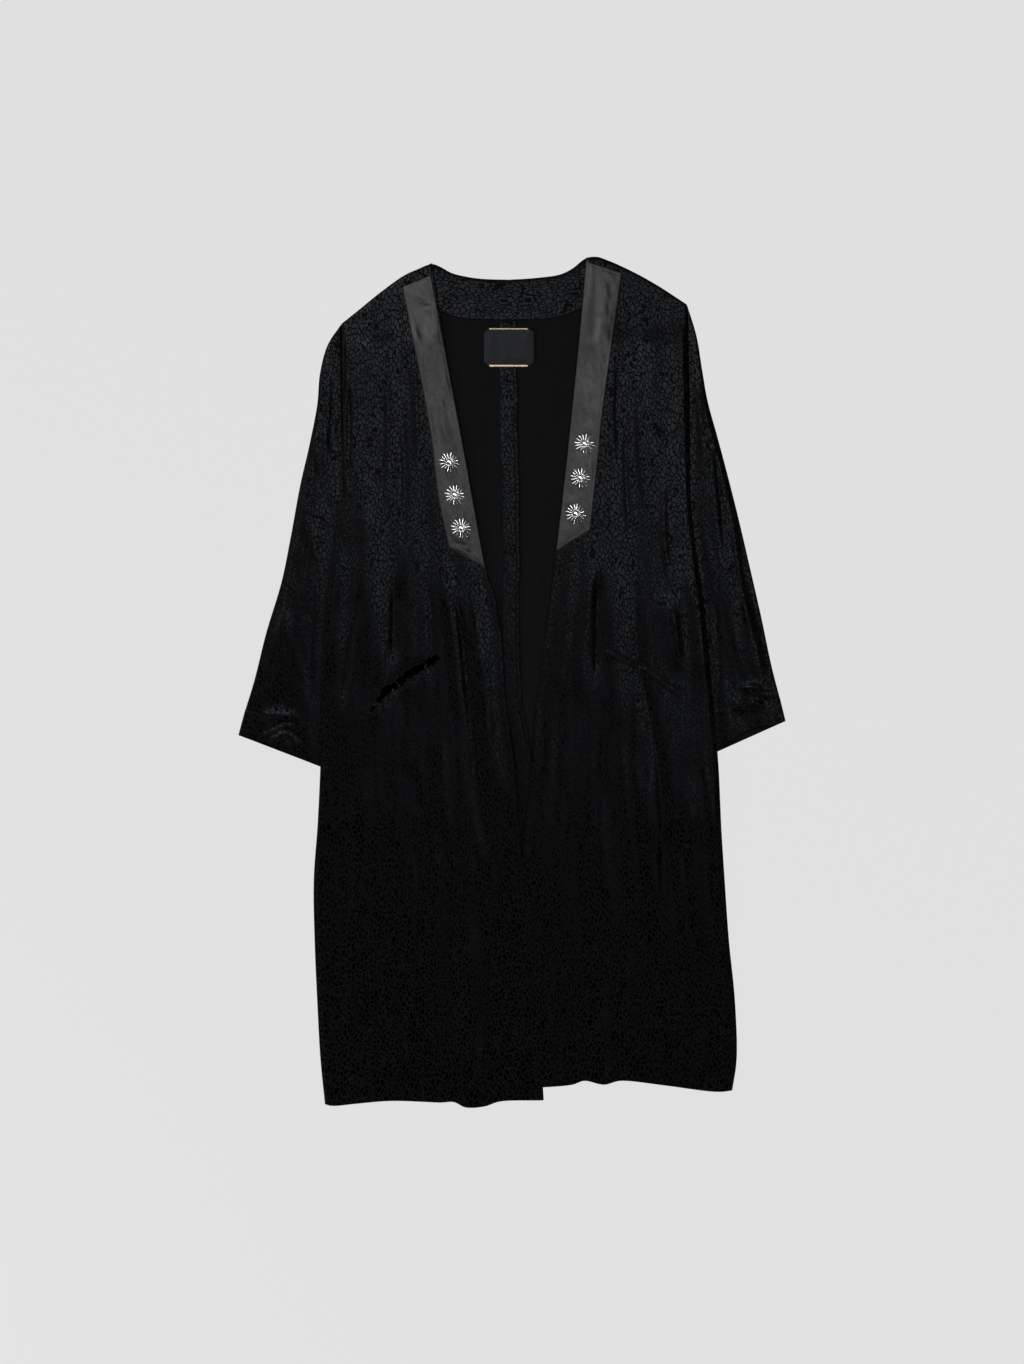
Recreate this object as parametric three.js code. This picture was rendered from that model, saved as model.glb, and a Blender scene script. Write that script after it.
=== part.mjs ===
// Long open-front jacket of kimono cut, laid flat on its back.
// Millimetres, +Z up from the surface it lies on, +Y towards the neck, +X to the viewer's right.
// "Left" and "right" are the viewer's.
import * as THREE from "three";

// Thicknesses and clearances
const CLOTH = 1.2;
const LEATHER = 1.4;
const TRIM = 1.0;
const SEAM_GAP = 0.3;
const LAY_GAP = 0.4;
const SLEEVE_STACK = 2 * CLOTH + SEAM_GAP;
const LIFT = SLEEVE_STACK + LAY_GAP;

// Grid sizes of the panels
const FRONT_GRID = { across: 20, along: 28 };
const BACK_GRID = { across: 8, along: 36 };
const LAPEL_GRID = { across: 4, along: 18 };
const SLEEVE_RINGS = 15;
const SLEEVE_ACROSS = 12;
const CUFF_RINGS = 3;
const FACING_GRID = { across: 18, along: 3 };
const TAPE_GRID = { across: 2, along: 30 };
const WELT_GRID = { across: 14, along: 2 };

// Columns of the backs stand closer together towards the side seam, where the body rises over the sleeve.
const CROWDING = 1.5;

// Edges of the body panels at each height: side seams and free front edges
const BODY_STATIONS = [
  { y: -445, leftSide: -225, leftEdge: 34, rightEdge: -8, rightSide: 264 },
  { y: -374, leftSide: -229, leftEdge: 27.5, rightEdge: -4, rightSide: 262 },
  { y: -304, leftSide: -232, leftEdge: 20.5, rightEdge: 1, rightSide: 255 },
  { y: -233, leftSide: -233, leftEdge: 14, rightEdge: 10, rightSide: 250 },
  { y: -162, leftSide: -228, leftEdge: 7.5, rightEdge: 17, rightSide: 245.5 },
  { y: -98, leftSide: -225, leftEdge: 3, rightEdge: 23.5, rightSide: 242.5 },
  { y: -21, leftSide: -223, leftEdge: -7.5, rightEdge: 29, rightSide: 236 },
  { y: 49, leftSide: -220, leftEdge: -12, rightEdge: 38, rightSide: 230 },
  { y: 96, leftSide: -217, leftEdge: -19.5, rightEdge: 44.5, rightSide: 225 },
  { y: 134, leftSide: -212, leftEdge: -31, rightEdge: 49.5, rightSide: 219.5 },
  { y: 191, leftSide: -205, leftEdge: -41, rightEdge: 56, rightSide: 212 },
  { y: 218, leftSide: -198.5, leftEdge: -46, rightEdge: 59.5, rightSide: 210 },
  { y: 250, leftSide: -199, leftEdge: -52, rightEdge: 63, rightSide: 209.4 },
  { y: 318, leftSide: -199.7, leftEdge: -64.5, rightEdge: 69.5, rightSide: 208 },
  { y: 372, leftSide: -200.3, leftEdge: -74.5, rightEdge: 75.5, rightSide: 206.9 },
];

// Shoulder folds, from the armhole to the neck point
const SHOULDER_LEFT = [
  { x: -200.8, y: 421 },
  { x: -182, y: 436 },
  { x: -155, y: 458 },
  { x: -127, y: 478 },
  { x: -112, y: 485 },
  { x: -94, y: 492 },
];
const SHOULDER_RIGHT = [
  { x: 205.5, y: 444 },
  { x: 170, y: 467 },
  { x: 142, y: 482.5 },
  { x: 113.5, y: 495.5 },
  { x: 99.5, y: 500 },
  { x: 87.5, y: 498.5 },
];

// Hems, from the viewer's left to the right
const HEM_FRONT_LEFT = [
  { x: -220, y: -496 },
  { x: -211, y: -498 },
  { x: -183, y: -495.5 },
  { x: -141, y: -492 },
  { x: -84, y: -494 },
  { x: -68, y: -493.5 },
  { x: -55, y: -499.7 },
  { x: -33, y: -499 },
  { x: -14, y: -493 },
  { x: 37, y: -491.5 },
];
const HEM_FRONT_RIGHT = [
  { x: -10, y: -477.5 },
  { x: 42, y: -475.5 },
  { x: 71, y: -473 },
  { x: 85, y: -468.5 },
  { x: 108, y: -473 },
  { x: 128, y: -468.5 },
  { x: 184, y: -474.5 },
  { x: 241, y: -481.5 },
  { x: 259, y: -480 },
];
const HEM_BACK_LEFT = [
  { x: -220, y: -492 },
  { x: -120, y: -486 },
  { x: 16, y: -468 },
];
const HEM_BACK_RIGHT = [
  { x: 16.5, y: -468 },
  { x: 140, y: -464 },
  { x: 259, y: -476 },
];

// Back neckline from the left neck point to the centre, and on to the right neck point
const NECK_LEFT = [
  { x: -94, y: 491.5 },
  { x: -84, y: 488 },
  { x: -70, y: 480.5 },
  { x: -42, y: 474.5 },
  { x: -5, y: 473 },
];
const NECK_RIGHT = [
  { x: -4.5, y: 473 },
  { x: 29, y: 475 },
  { x: 57, y: 479 },
  { x: 71, y: 486 },
  { x: 87.5, y: 498 },
];

// Centre-back seam with the tape that covers it inside
const CENTRE_BACK = [
  { y: -468, x: 16.2 },
  { y: -200, x: 16 },
  { y: -100, x: 14 },
  { y: -61, x: 9 },
  { y: -25, x: 1.5 },
  { y: 12, x: -1.2 },
  { y: 167, x: -1.5 },
  { y: 368, x: -4.7 },
  { y: 473, x: -4.8 },
];
const TAPE = { width: 20.5, top: 424, bottom: -462 };

// Neck facing inside the back neck: its lower edge, ending under both fronts
const FACING_LOWER = [
  { x: -101, y: 440 },
  { x: -84, y: 435.5 },
  { x: -63, y: 428 },
  { x: -29, y: 426 },
  { x: 24, y: 426 },
  { x: 51, y: 428.5 },
  { x: 77, y: 437 },
  { x: 94, y: 444 },
];
const FACING_UPPER = [
  { x: -101, y: 487 },
  { x: -84, y: 486.5 },
  { x: -70, y: 479 },
  { x: -42, y: 473 },
  { x: 0, y: 471.5 },
  { x: 29, y: 473.5 },
  { x: 57, y: 477.5 },
  { x: 71, y: 484 },
  { x: 94, y: 497 },
];

// Sleeve sections: outer fold and inner fold (underarm seam, tucked under the body)
const SLEEVE_LEFT = [
  { outerX: -201.3, outerY: 420.3, innerX: -199, innerY: 218 },
  { outerX: -217, outerY: 396, innerX: -196.5, innerY: 190 },
  { outerX: -226, outerY: 362, innerX: -193.5, innerY: 161 },
  { outerX: -229, outerY: 327, innerX: -190, innerY: 132 },
  { outerX: -238, outerY: 280, innerX: -187, innerY: 101 },
  { outerX: -249, outerY: 232, innerX: -184.5, innerY: 71 },
  { outerX: -260, outerY: 172, innerX: -183, innerY: 40 },
  { outerX: -271, outerY: 118, innerX: -182, innerY: 11 },
  { outerX: -289, outerY: 58, innerX: -181.5, innerY: -18 },
  { outerX: -303, outerY: 2, innerX: -181, innerY: -40 },
  { outerX: -314, outerY: -34, innerX: -181, innerY: -58 },
];
const SLEEVE_RIGHT = [
  { outerX: 206, outerY: 443.2, innerX: 210.6, innerY: 218 },
  { outerX: 217, outerY: 407, innerX: 206, innerY: 190 },
  { outerX: 224, outerY: 365, innerX: 203, innerY: 161 },
  { outerX: 230, outerY: 331, innerX: 199.5, innerY: 132 },
  { outerX: 242, outerY: 287, innerX: 197, innerY: 101 },
  { outerX: 254.5, outerY: 240, innerX: 194.5, innerY: 71 },
  { outerX: 267.5, outerY: 188, innerX: 193, innerY: 40 },
  { outerX: 280.5, outerY: 132, innerX: 191.5, innerY: 11 },
  { outerX: 293.5, outerY: 75, innerX: 191, innerY: -10 },
  { outerX: 305, outerY: 20, innerX: 191, innerY: -27 },
  { outerX: 315, outerY: -19, innerX: 191, innerY: -42 },
];
const CUFF_EDGE_LEFT = { outerX: -321.8, outerY: -62.5, innerX: -185.3, innerY: -115 };
const CUFF_EDGE_RIGHT = { outerX: 321.8, outerY: -46, innerX: 193.5, innerY: -103.5 };
// How far the upper lip of each cuff draws back from the lower one
const CUFF_MOUTH = { left: 1, right: 9 };

// Height of the sleeve and front cloth above its flat stack, away from its edges
const SLEEVE_PUFF = 1.6;
const FRONT_PUFF = 1.2;
const FOLD_TAPER = 0.3;

// Flattened sleeves: how far the cloth keeps back from a fold and inside it, how far it lies flat beside
// the body's side seam and beside a fold, and the share of the width over which a cuff's lip draws back
const FLAT_RING = { tip: 0.8, inside: 0.3, seamNear: 3, seamFar: 16, foldFar: 14, drawn: 1.4 };

// Body over a tucked sleeve: full lift up to "near" from the sleeve's inner fold, none past "far",
// and the heights between which the lift comes and goes. The fronts bridge a little further.
const BODY_LIFT = { near: 8, far: 46, lowFrom: -188, lowTo: -146, highFrom: 250, highTo: 312 };
const FRONT_BRIDGE = 14;

// Fronts over the tape and over the facing: full height up to "near" from their edges, none past "far"
const TAPE_BRIDGE = { near: 2, far: 24 };
const FACING_BRIDGE = { x: -3, near: 108, far: 140, from: 370, to: 424 };

// Strips along the edges of a front where its cloth lies down: side seam, free edge, shoulder height.
// On the lower front the strip also takes in what the upper one covers.
const FRONT_REST = { sideNear: 1, sideFar: 10, edgeNear: 3, edgeFar: 20, covered: 16, from: 395, to: 440 };

// Right front over the left one: full lift up to "near" past the left front's edge, and none past "far"
const OVERLAP = { near: 4, far: 34, from: -190, to: -100 };

// Leather lapels: edge points from the neck down to the slanted end
const LAPEL_LEFT = {
  outer: [
    { x: -129, y: 464 },
    { x: -96, y: 294 },
    { x: -86, y: 214 },
    { x: -74, y: 158.5 },
  ],
  inner: [
    { x: -95.2, y: 478.5 },
    { x: -75, y: 372 },
    { x: -52.3, y: 250 },
    { x: -31.5, y: 134.5 },
  ],
};
const LAPEL_RIGHT = {
  inner: [
    { x: 87.4, y: 495 },
    { x: 76, y: 372 },
    { x: 63.2, y: 250 },
    { x: 52.2, y: 154 },
  ],
  outer: [
    { x: 129.5, y: 481 },
    { x: 105.5, y: 308 },
    { x: 101.5, y: 266 },
    { x: 92, y: 179 },
  ],
};

// Folds of each panel: a ridge rises, a trough sinks between lifted cloth
const FRONT_FOLDS = [
  { panel: "left", path: [[-199, 160], [-206, 80], [-211, -5]], width: 9, rise: 3.2 },
  { panel: "left", path: [[-178, 120], [-188, 60], [-200, -45]], width: 9, rise: -2.6 },
  { panel: "left", path: [[-158, 250], [-160, 120], [-172, -20]], width: 17, rise: 2.6 },
  { panel: "left", path: [[-135, 125], [-138, 15]], width: 8, rise: -2.4 },
  { panel: "left", path: [[-116, 210], [-112, 90], [-118, -60]], width: 17, rise: 2.6 },
  { panel: "left", path: [[-82, 150], [-68, 60], [-60, -60]], width: 9, rise: 3.6 },
  { panel: "left", path: [[-80, 130], [-58, 50], [-42, -126], [-24, -235]], width: 7, rise: -2.4 },
  { panel: "left", path: [[-34, 60], [-24, -60], [-20, -160]], width: 10, rise: 2.4 },
  { panel: "left", path: [[-197, -72], [-198, -336]], width: 9, rise: -2 },
  { panel: "left", path: [[-176, -80], [-174, -300]], width: 13, rise: 2.6 },
  { panel: "left", path: [[-133, -100], [-140, -330]], width: 15, rise: 2.4 },
  { panel: "left", path: [[-96, -200], [-92, -440]], width: 12, rise: 2.4 },
  { panel: "left", path: [[-72, -230], [-66, -460]], width: 8, rise: -2.2 },
  { panel: "left", path: [[-50, -260], [-44, -490]], width: 11, rise: 3 },
  { panel: "left", path: [[-160, 430], [-168, 330], [-165, 260]], width: 16, rise: 1.8 },
  { panel: "right", path: [[100, 170], [84, 50], [80, -40]], width: 9, rise: 3.6 },
  { panel: "right", path: [[103, 140], [101, -10]], width: 7, rise: -2.4 },
  { panel: "right", path: [[124, 160], [122, 20], [126, -80]], width: 13, rise: 2.8 },
  { panel: "right", path: [[144, 120], [150, 10], [172, -109], [200, -336]], width: 8, rise: -2.6 },
  { panel: "right", path: [[183, 110], [195, 5]], width: 10, rise: 3 },
  { panel: "right", path: [[206, 150], [219, 60], [226, -20]], width: 9, rise: 3 },
  { panel: "right", path: [[150, -80], [172, -300]], width: 11, rise: 2.6 },
  { panel: "right", path: [[205, -100], [226, -340]], width: 11, rise: 2.6 },
  { panel: "right", path: [[104, -120], [112, -400]], width: 14, rise: 2.4 },
  { panel: "right", path: [[78, -150], [84, -460]], width: 9, rise: -2 },
  { panel: "right", path: [[106, -380], [107, -470]], width: 11, rise: 3 },
  { panel: "right", path: [[165, 430], [158, 330], [160, 240]], width: 16, rise: 1.8 },
  { panel: "right", path: [[136, -300], [140, -460]], width: 10, rise: 2.2 },
];
const SLEEVE_FOLDS = [
  { panel: "left", path: [[-226, 340], [-236, 240], [-246, 120]], width: 10, rise: 3 },
  { panel: "left", path: [[-222, 240], [-240, 120], [-262, -10]], width: 9, rise: 2.6 },
  { panel: "left", path: [[-262, 90], [-276, 0], [-282, -30]], width: 9, rise: 2.4 },
  { panel: "left", path: [[-300, -48], [-272, -40], [-250, -50]], width: 8, rise: 3.4 },
  { panel: "right", path: [[228, 345], [236, 250], [246, 150]], width: 10, rise: 3 },
  { panel: "right", path: [[244, 200], [258, 90], [268, 0]], width: 9, rise: 2.6 },
  { panel: "right", path: [[268, 120], [286, 30], [294, -10]], width: 9, rise: 2.4 },
  { panel: "right", path: [[300, -24], [276, -22], [258, -34]], width: 8, rise: 3.4 },
];

// Slanted welt pockets: centre line and width
const WELT_LEFT = { line: [[-169, -38], [-142, -6], [-87, 30]], width: 12 };
const WELT_RIGHT = { line: [[107, 37], [151, 17], [197, -14]], width: 10 };

// Neck label, bare, with rounded corners
const LABEL = { x: -3.5, y: 393.5, width: 59, height: 43, corner: 4, cornerSteps: 4 };

// Sunburst studs on the lapels
const STUDS = [
  { name: "stud_left_1", x: -73.5, y: 258 },
  { name: "stud_left_2", x: -67, y: 219.5 },
  { name: "stud_left_3", x: -59.5, y: 180.5 },
  { name: "stud_right_1", x: 85.5, y: 279.5 },
  { name: "stud_right_2", x: 80.5, y: 239.5 },
  { name: "stud_right_3", x: 75, y: 197.5 },
];
const STUD = {
  rays: 16,
  radius: 12,
  valley: 5.5,
  tip: 0.8,
  plate: 1.4,
  ridge: 2.0,
  foot: 4.0,
  knob: 3.2,
  knobSide: 2.8,
  knobHeight: 3.6,
};

// How far round a place a panel's upper face is felt for what lies on it, and from what height
const LAPEL_REACH = 2;
const WELT_REACH = 3;
const PROBE_HEIGHT = 100;
const SLOPE_STEP = 0.5;

// Materials
const JACQUARD = { color: 0x0d0d0e, roughness: 0.55, metalness: 0 };
const LINING_SIDE = { color: 0x070708, roughness: 0.85, metalness: 0 };
const BLACK_LEATHER = { color: 0x2b2c2e, roughness: 0.5, metalness: 0 };
const SATIN_LABEL = { color: 0x101114, roughness: 0.6, metalness: 0 };
const PALE_METAL = { color: 0xcfcabd, roughness: 0.25, metalness: 1 };

const smoothstep = (from, to, value) => THREE.MathUtils.smoothstep(value, from, to);
const mix = THREE.MathUtils.lerp;

// Smooth curve through table rows with x and y; the result takes 0 to 1 along its length.
function edge(rows) {
  const points = rows.map((row) => new THREE.Vector3(row.x, row.y, 0));
  const curve = new THREE.CatmullRomCurve3(points, false, "centripetal");
  return (along) => curve.getPointAt(along);
}

// Value of a column of a table at a height, straight between rows that are sorted by y.
function valueAt(rows, column, y) {
  if (y <= rows[0].y) return rows[0][column];
  const next = rows.findIndex((row) => row.y >= y);
  if (next < 0) return rows[rows.length - 1][column];
  const low = rows[next - 1];
  const high = rows[next];
  return mix(low[column], high[column], (y - low.y) / (high.y - low.y));
}

// Inner fold of each sleeve by height, from the cuff up, for what lies on it
function innerFold(sections, cuffEdge) {
  const rows = [...sections].reverse().map((row) => ({ y: row.innerY, x: row.innerX }));
  return [{ y: cuffEdge.innerY, x: cuffEdge.innerX }, ...rows];
}
const INNER_LEFT = innerFold(SLEEVE_LEFT, CUFF_EDGE_LEFT);
const INNER_RIGHT = innerFold(SLEEVE_RIGHT, CUFF_EDGE_RIGHT);

// Lift of the body where the tucked sleeves lie under its sides
function sleeveLift(x, y, bridge) {
  const { near, far, lowFrom, lowTo, highFrom, highTo } = BODY_LIFT;
  const past = x < 0 ? x - valueAt(INNER_LEFT, "x", y) : valueAt(INNER_RIGHT, "x", y) - x;
  const across = 1 - smoothstep(near + bridge / 2, far + bridge, past);
  const rising = smoothstep(lowFrom - bridge, lowTo - bridge, y);
  const falling = 1 - smoothstep(highFrom + bridge / 2, highTo + bridge, y);
  return LIFT * across * rising * falling;
}

// Nearest place on a bent line: distance from it, and how far along it from 0 to 1
function nearestOn(path, x, y) {
  const lengths = path.slice(1).map((end, i) => Math.hypot(end[0] - path[i][0], end[1] - path[i][1]));
  const total = lengths.reduce((sum, length) => sum + length, 0);
  let best = { distance: Infinity, along: 0 };
  let passed = 0;
  lengths.forEach((length, i) => {
    const [startX, startY] = path[i];
    const dirX = (path[i + 1][0] - startX) / length;
    const dirY = (path[i + 1][1] - startY) / length;
    const step = THREE.MathUtils.clamp((x - startX) * dirX + (y - startY) * dirY, 0, length);
    const distance = Math.hypot(x - startX - dirX * step, y - startY - dirY * step);
    if (distance < best.distance) best = { distance, along: (passed + step) / total };
    passed += length;
  });
  return best;
}

// Height that the folds of one panel add at a place, never below flat
function foldHeight(folds, panel, base, x, y) {
  let height = base;
  for (const fold of folds) {
    if (fold.panel !== panel) continue;
    const near = nearestOn(fold.path, x, y);
    const taper = smoothstep(0, FOLD_TAPER, near.along) * smoothstep(0, FOLD_TAPER, 1 - near.along);
    height += fold.rise * taper * Math.exp(-((near.distance / fold.width) ** 2));
  }
  return Math.max(height, 0);
}

// Heights of the layers, from the surface up
const backLow = (x, y) => sleeveLift(x, y, 0);
const backTop = (x, y) => backLow(x, y) + CLOTH;

function tapeMask(x, y) {
  const off = Math.abs(x - valueAt(CENTRE_BACK, "x", y));
  return 1 - smoothstep(TAPE.width / 2 + TAPE_BRIDGE.near, TAPE.width / 2 + TAPE_BRIDGE.far, off);
}

function facingMask(x, y) {
  const { near, far, from, to } = FACING_BRIDGE;
  return smoothstep(from, to, y) * (1 - smoothstep(near, far, Math.abs(x - FACING_BRIDGE.x)));
}

function frontBase(x, y) {
  const under = (TRIM + SEAM_GAP) * Math.max(tapeMask(x, y), facingMask(x, y));
  return sleeveLift(x, y, FRONT_BRIDGE) + CLOTH + LAY_GAP + under;
}

// Cloth lifts only inside its own edges, and lies down along them.
function frontMask(panel, x, y) {
  const { sideNear, sideFar, edgeNear, edgeFar, from, to } = FRONT_REST;
  const side = valueAt(BODY_STATIONS, panel + "Side", y);
  const free = valueAt(BODY_STATIONS, panel + "Edge", y);
  const fromSide = smoothstep(sideNear, sideFar, Math.abs(side - x));
  const crossed = valueAt(BODY_STATIONS, "leftEdge", y) - valueAt(BODY_STATIONS, "rightEdge", y);
  const covered = panel === "left" ? Math.max(0, crossed + FRONT_REST.covered) : 0;
  const fromEdge = smoothstep(covered + edgeNear, covered + edgeFar, Math.abs(free - x));
  const fromShoulder = 1 - smoothstep(from, to, y);
  return fromSide * fromEdge * fromShoulder;
}

function frontFolds(panel, x, y) {
  return foldHeight(FRONT_FOLDS, panel, FRONT_PUFF, x, y) * frontMask(panel, x, y);
}

// The right front lies on the left one below the crossing of their edges.
function overlapLift(x, y) {
  const { near, far, from, to } = OVERLAP;
  const past = x - valueAt(BODY_STATIONS, "leftEdge", y);
  return (CLOTH + LAY_GAP) * (1 - smoothstep(near, far, past)) * (1 - smoothstep(from, to, y));
}

const LOW_OF_FRONT = {
  left: (x, y) => frontBase(x, y) + frontFolds("left", x, y),
  right: (x, y) => frontBase(x, y) + frontFolds("right", x, y) + overlapLift(x, y),
};

// Height of a wall's outer face over its inner face, with the wall's true thickness on a slope
function above(low, thickness, x, y) {
  const slopeX = (low(x + SLOPE_STEP, y) - low(x - SLOPE_STEP, y)) / (2 * SLOPE_STEP);
  const slopeY = (low(x, y + SLOPE_STEP) - low(x, y - SLOPE_STEP)) / (2 * SLOPE_STEP);
  return low(x, y) + thickness * Math.sqrt(1 + slopeX * slopeX + slopeY * slopeY);
}

function meshFrom(name, positions, triangles, look) {
  const geometry = new THREE.BufferGeometry();
  geometry.setAttribute("position", new THREE.Float32BufferAttribute(positions, 3));
  geometry.setIndex(triangles);
  geometry.computeVertexNormals();
  const mesh = new THREE.Mesh(geometry, new THREE.MeshStandardMaterial(look));
  mesh.name = name;
  return mesh;
}

// Height of a finished panel's upper face, the highest within reach of a place
function topOf(mesh, reach) {
  const ray = new THREE.Raycaster();
  const down = new THREE.Vector3(0, 0, -1);
  const steps = [-reach, 0, reach];
  return (x, y) => {
    const heights = steps.flatMap((dx) =>
      steps.map((dy) => {
        ray.set(new THREE.Vector3(x + dx, y + dy, PROBE_HEIGHT), down);
        const hit = ray.intersectObject(mesh)[0];
        return hit ? hit.point.z : 0;
      }),
    );
    return Math.max(...heights);
  };
}

// Closed wall over a grid of plan points: columns run along +X, rows along +Y.
function panelWall(name, grid, planPoint, low, thickness, look) {
  const { across, along } = grid;
  const positions = [];
  for (const face of ["low", "high"]) {
    for (let row = 0; row <= along; row += 1) {
      for (let column = 0; column <= across; column += 1) {
        const { x, y } = planPoint(column / across, row / along);
        const z = face === "low" ? low(x, y) : above(low, thickness, x, y);
        positions.push(x, y, z);
      }
    }
  }
  const perFace = (across + 1) * (along + 1);
  const at = (column, row) => row * (across + 1) + column;
  const triangles = [];
  const quad = (a, b, c, d) => triangles.push(a, b, c, a, c, d);
  for (let row = 0; row < along; row += 1) {
    for (let column = 0; column < across; column += 1) {
      const corners = [at(column, row), at(column + 1, row), at(column + 1, row + 1), at(column, row + 1)];
      quad(...corners.map((corner) => corner + perFace));
      quad(corners[0], corners[3], corners[2], corners[1]);
    }
  }
  const rim = [];
  for (let column = 0; column < across; column += 1) rim.push(at(column, 0));
  for (let row = 0; row < along; row += 1) rim.push(at(across, row));
  for (let column = across; column > 0; column -= 1) rim.push(at(column, along));
  for (let row = along; row > 0; row -= 1) rim.push(at(0, row));
  rim.forEach((corner, i) => {
    const next = rim[(i + 1) % rim.length];
    quad(corner, next, next + perFace, corner + perFace);
  });
  return meshFrom(name, positions, triangles, look);
}

// Plan point inside four edges; low and high run along +X, start and end along +Y.
function fourSided({ low, high, start, end }) {
  return (u, v) => {
    const point = new THREE.Vector3();
    point.addScaledVector(start(v), 1 - u).addScaledVector(end(v), u);
    point.addScaledVector(low(u), 1 - v).addScaledVector(high(u), v);
    point.addScaledVector(low(0), -(1 - u) * (1 - v)).addScaledVector(low(1), -u * (1 - v));
    point.addScaledVector(high(0), -(1 - u) * v).addScaledVector(high(1), -u * v);
    return point;
  };
}

const stationPoints = (column) => BODY_STATIONS.map((row) => ({ x: row[column], y: row.y }));
const first = (rows) => rows[0];
const last = (rows) => rows[rows.length - 1];
const reversed = (rows) => [...rows].reverse();

// Side seam or free edge from its hem corner, through the stations, to its top point
function bodyEdge(hemCorner, column, top) {
  return edge([hemCorner, ...stationPoints(column), top]);
}

function makeFronts() {
  const leftPlan = fourSided({
    low: edge(HEM_FRONT_LEFT),
    high: edge(SHOULDER_LEFT),
    start: bodyEdge(first(HEM_FRONT_LEFT), "leftSide", first(SHOULDER_LEFT)),
    end: bodyEdge(last(HEM_FRONT_LEFT), "leftEdge", last(SHOULDER_LEFT)),
  });
  const rightPlan = fourSided({
    low: edge(HEM_FRONT_RIGHT),
    high: edge(reversed(SHOULDER_RIGHT)),
    start: bodyEdge(first(HEM_FRONT_RIGHT), "rightEdge", last(SHOULDER_RIGHT)),
    end: bodyEdge(last(HEM_FRONT_RIGHT), "rightSide", first(SHOULDER_RIGHT)),
  });
  return [
    panelWall("front_left", FRONT_GRID, leftPlan, LOW_OF_FRONT.left, CLOTH, JACQUARD),
    panelWall("front_right", FRONT_GRID, rightPlan, LOW_OF_FRONT.right, CLOTH, JACQUARD),
  ];
}

const crowdedLow = (plan) => (u, v) => plan(u ** CROWDING, v);
const crowdedHigh = (plan) => (u, v) => plan(1 - (1 - u) ** CROWDING, v);

// Shoulder and neck together are the top edge of each back panel.
function makeBacks() {
  const centre = (offset) => edge(CENTRE_BACK.map((row) => ({ x: row.x + offset, y: row.y })));
  const leftTop = [...SHOULDER_LEFT.slice(0, -1), ...NECK_LEFT];
  const rightTop = [...NECK_RIGHT.slice(0, -1), ...reversed(SHOULDER_RIGHT)];
  const leftPlan = fourSided({
    low: edge(HEM_BACK_LEFT),
    high: edge(leftTop),
    start: bodyEdge(first(HEM_BACK_LEFT), "leftSide", first(SHOULDER_LEFT)),
    end: centre(-SEAM_GAP / 2),
  });
  const rightPlan = fourSided({
    low: edge(HEM_BACK_RIGHT),
    high: edge(rightTop),
    start: centre(SEAM_GAP / 2),
    end: bodyEdge(last(HEM_BACK_RIGHT), "rightSide", first(SHOULDER_RIGHT)),
  });
  return [
    panelWall("back_left", BACK_GRID, crowdedLow(leftPlan), backLow, CLOTH, LINING_SIDE),
    panelWall("back_right", BACK_GRID, crowdedHigh(rightPlan), backLow, CLOTH, LINING_SIDE),
  ];
}

// Sleeve sections as curves, so that rings can be taken anywhere along the sleeve
function sleeveSection(sections) {
  const outer = edge(sections.map((row) => ({ x: row.outerX, y: row.outerY })));
  const inner = edge(sections.map((row) => ({ x: row.innerX, y: row.innerY })));
  return (along) => ({ outer: outer(along), inner: inner(along) });
}

// Height of the upper sleeve cloth: flat where it is tucked under the body and along its folds
function sleeveTop(panel, x, y, fromFold) {
  const side = valueAt(BODY_STATIONS, panel + "Side", y);
  const outside = panel === "left" ? side - x : x - side;
  const { seamNear, seamFar, foldFar } = FLAT_RING;
  const mask = smoothstep(seamNear, seamFar, outside) * smoothstep(0, foldFar, fromFold);
  return SLEEVE_STACK + foldHeight(SLEEVE_FOLDS, panel, SLEEVE_PUFF, x, y) * mask;
}

// Flattened ring of a sleeve: lower cloth from fold to fold, then the upper cloth back again
function flatRing(panel, section, mouth, inset) {
  const { outer, inner } = section;
  const width = outer.distanceTo(inner);
  const direction = inner.clone().sub(outer).divideScalar(width);
  const end = inset === 0 ? FLAT_RING.tip : inset + FLAT_RING.inside;
  const points = [];
  const place = (s, z, draw) => {
    points.push([outer.x + direction.x * s, outer.y + direction.y * s + draw, z]);
  };
  for (let i = 0; i <= SLEEVE_ACROSS; i += 1) {
    place(mix(end, width - end, i / SLEEVE_ACROSS), inset, 0);
  }
  place(width - inset, SLEEVE_STACK / 2, 0);
  for (let i = SLEEVE_ACROSS; i >= 0; i -= 1) {
    const s = mix(end, width - end, i / SLEEVE_ACROSS);
    const draw = mouth * Math.sin(Math.PI * Math.min(1, (s / width) * FLAT_RING.drawn)) ** 2;
    const x = outer.x + direction.x * s;
    const y = outer.y + direction.y * s;
    place(s, sleeveTop(panel, x, y, Math.min(s, width - s)) - inset, draw);
  }
  place(inset, SLEEVE_STACK / 2, 0);
  return points;
}

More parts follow.
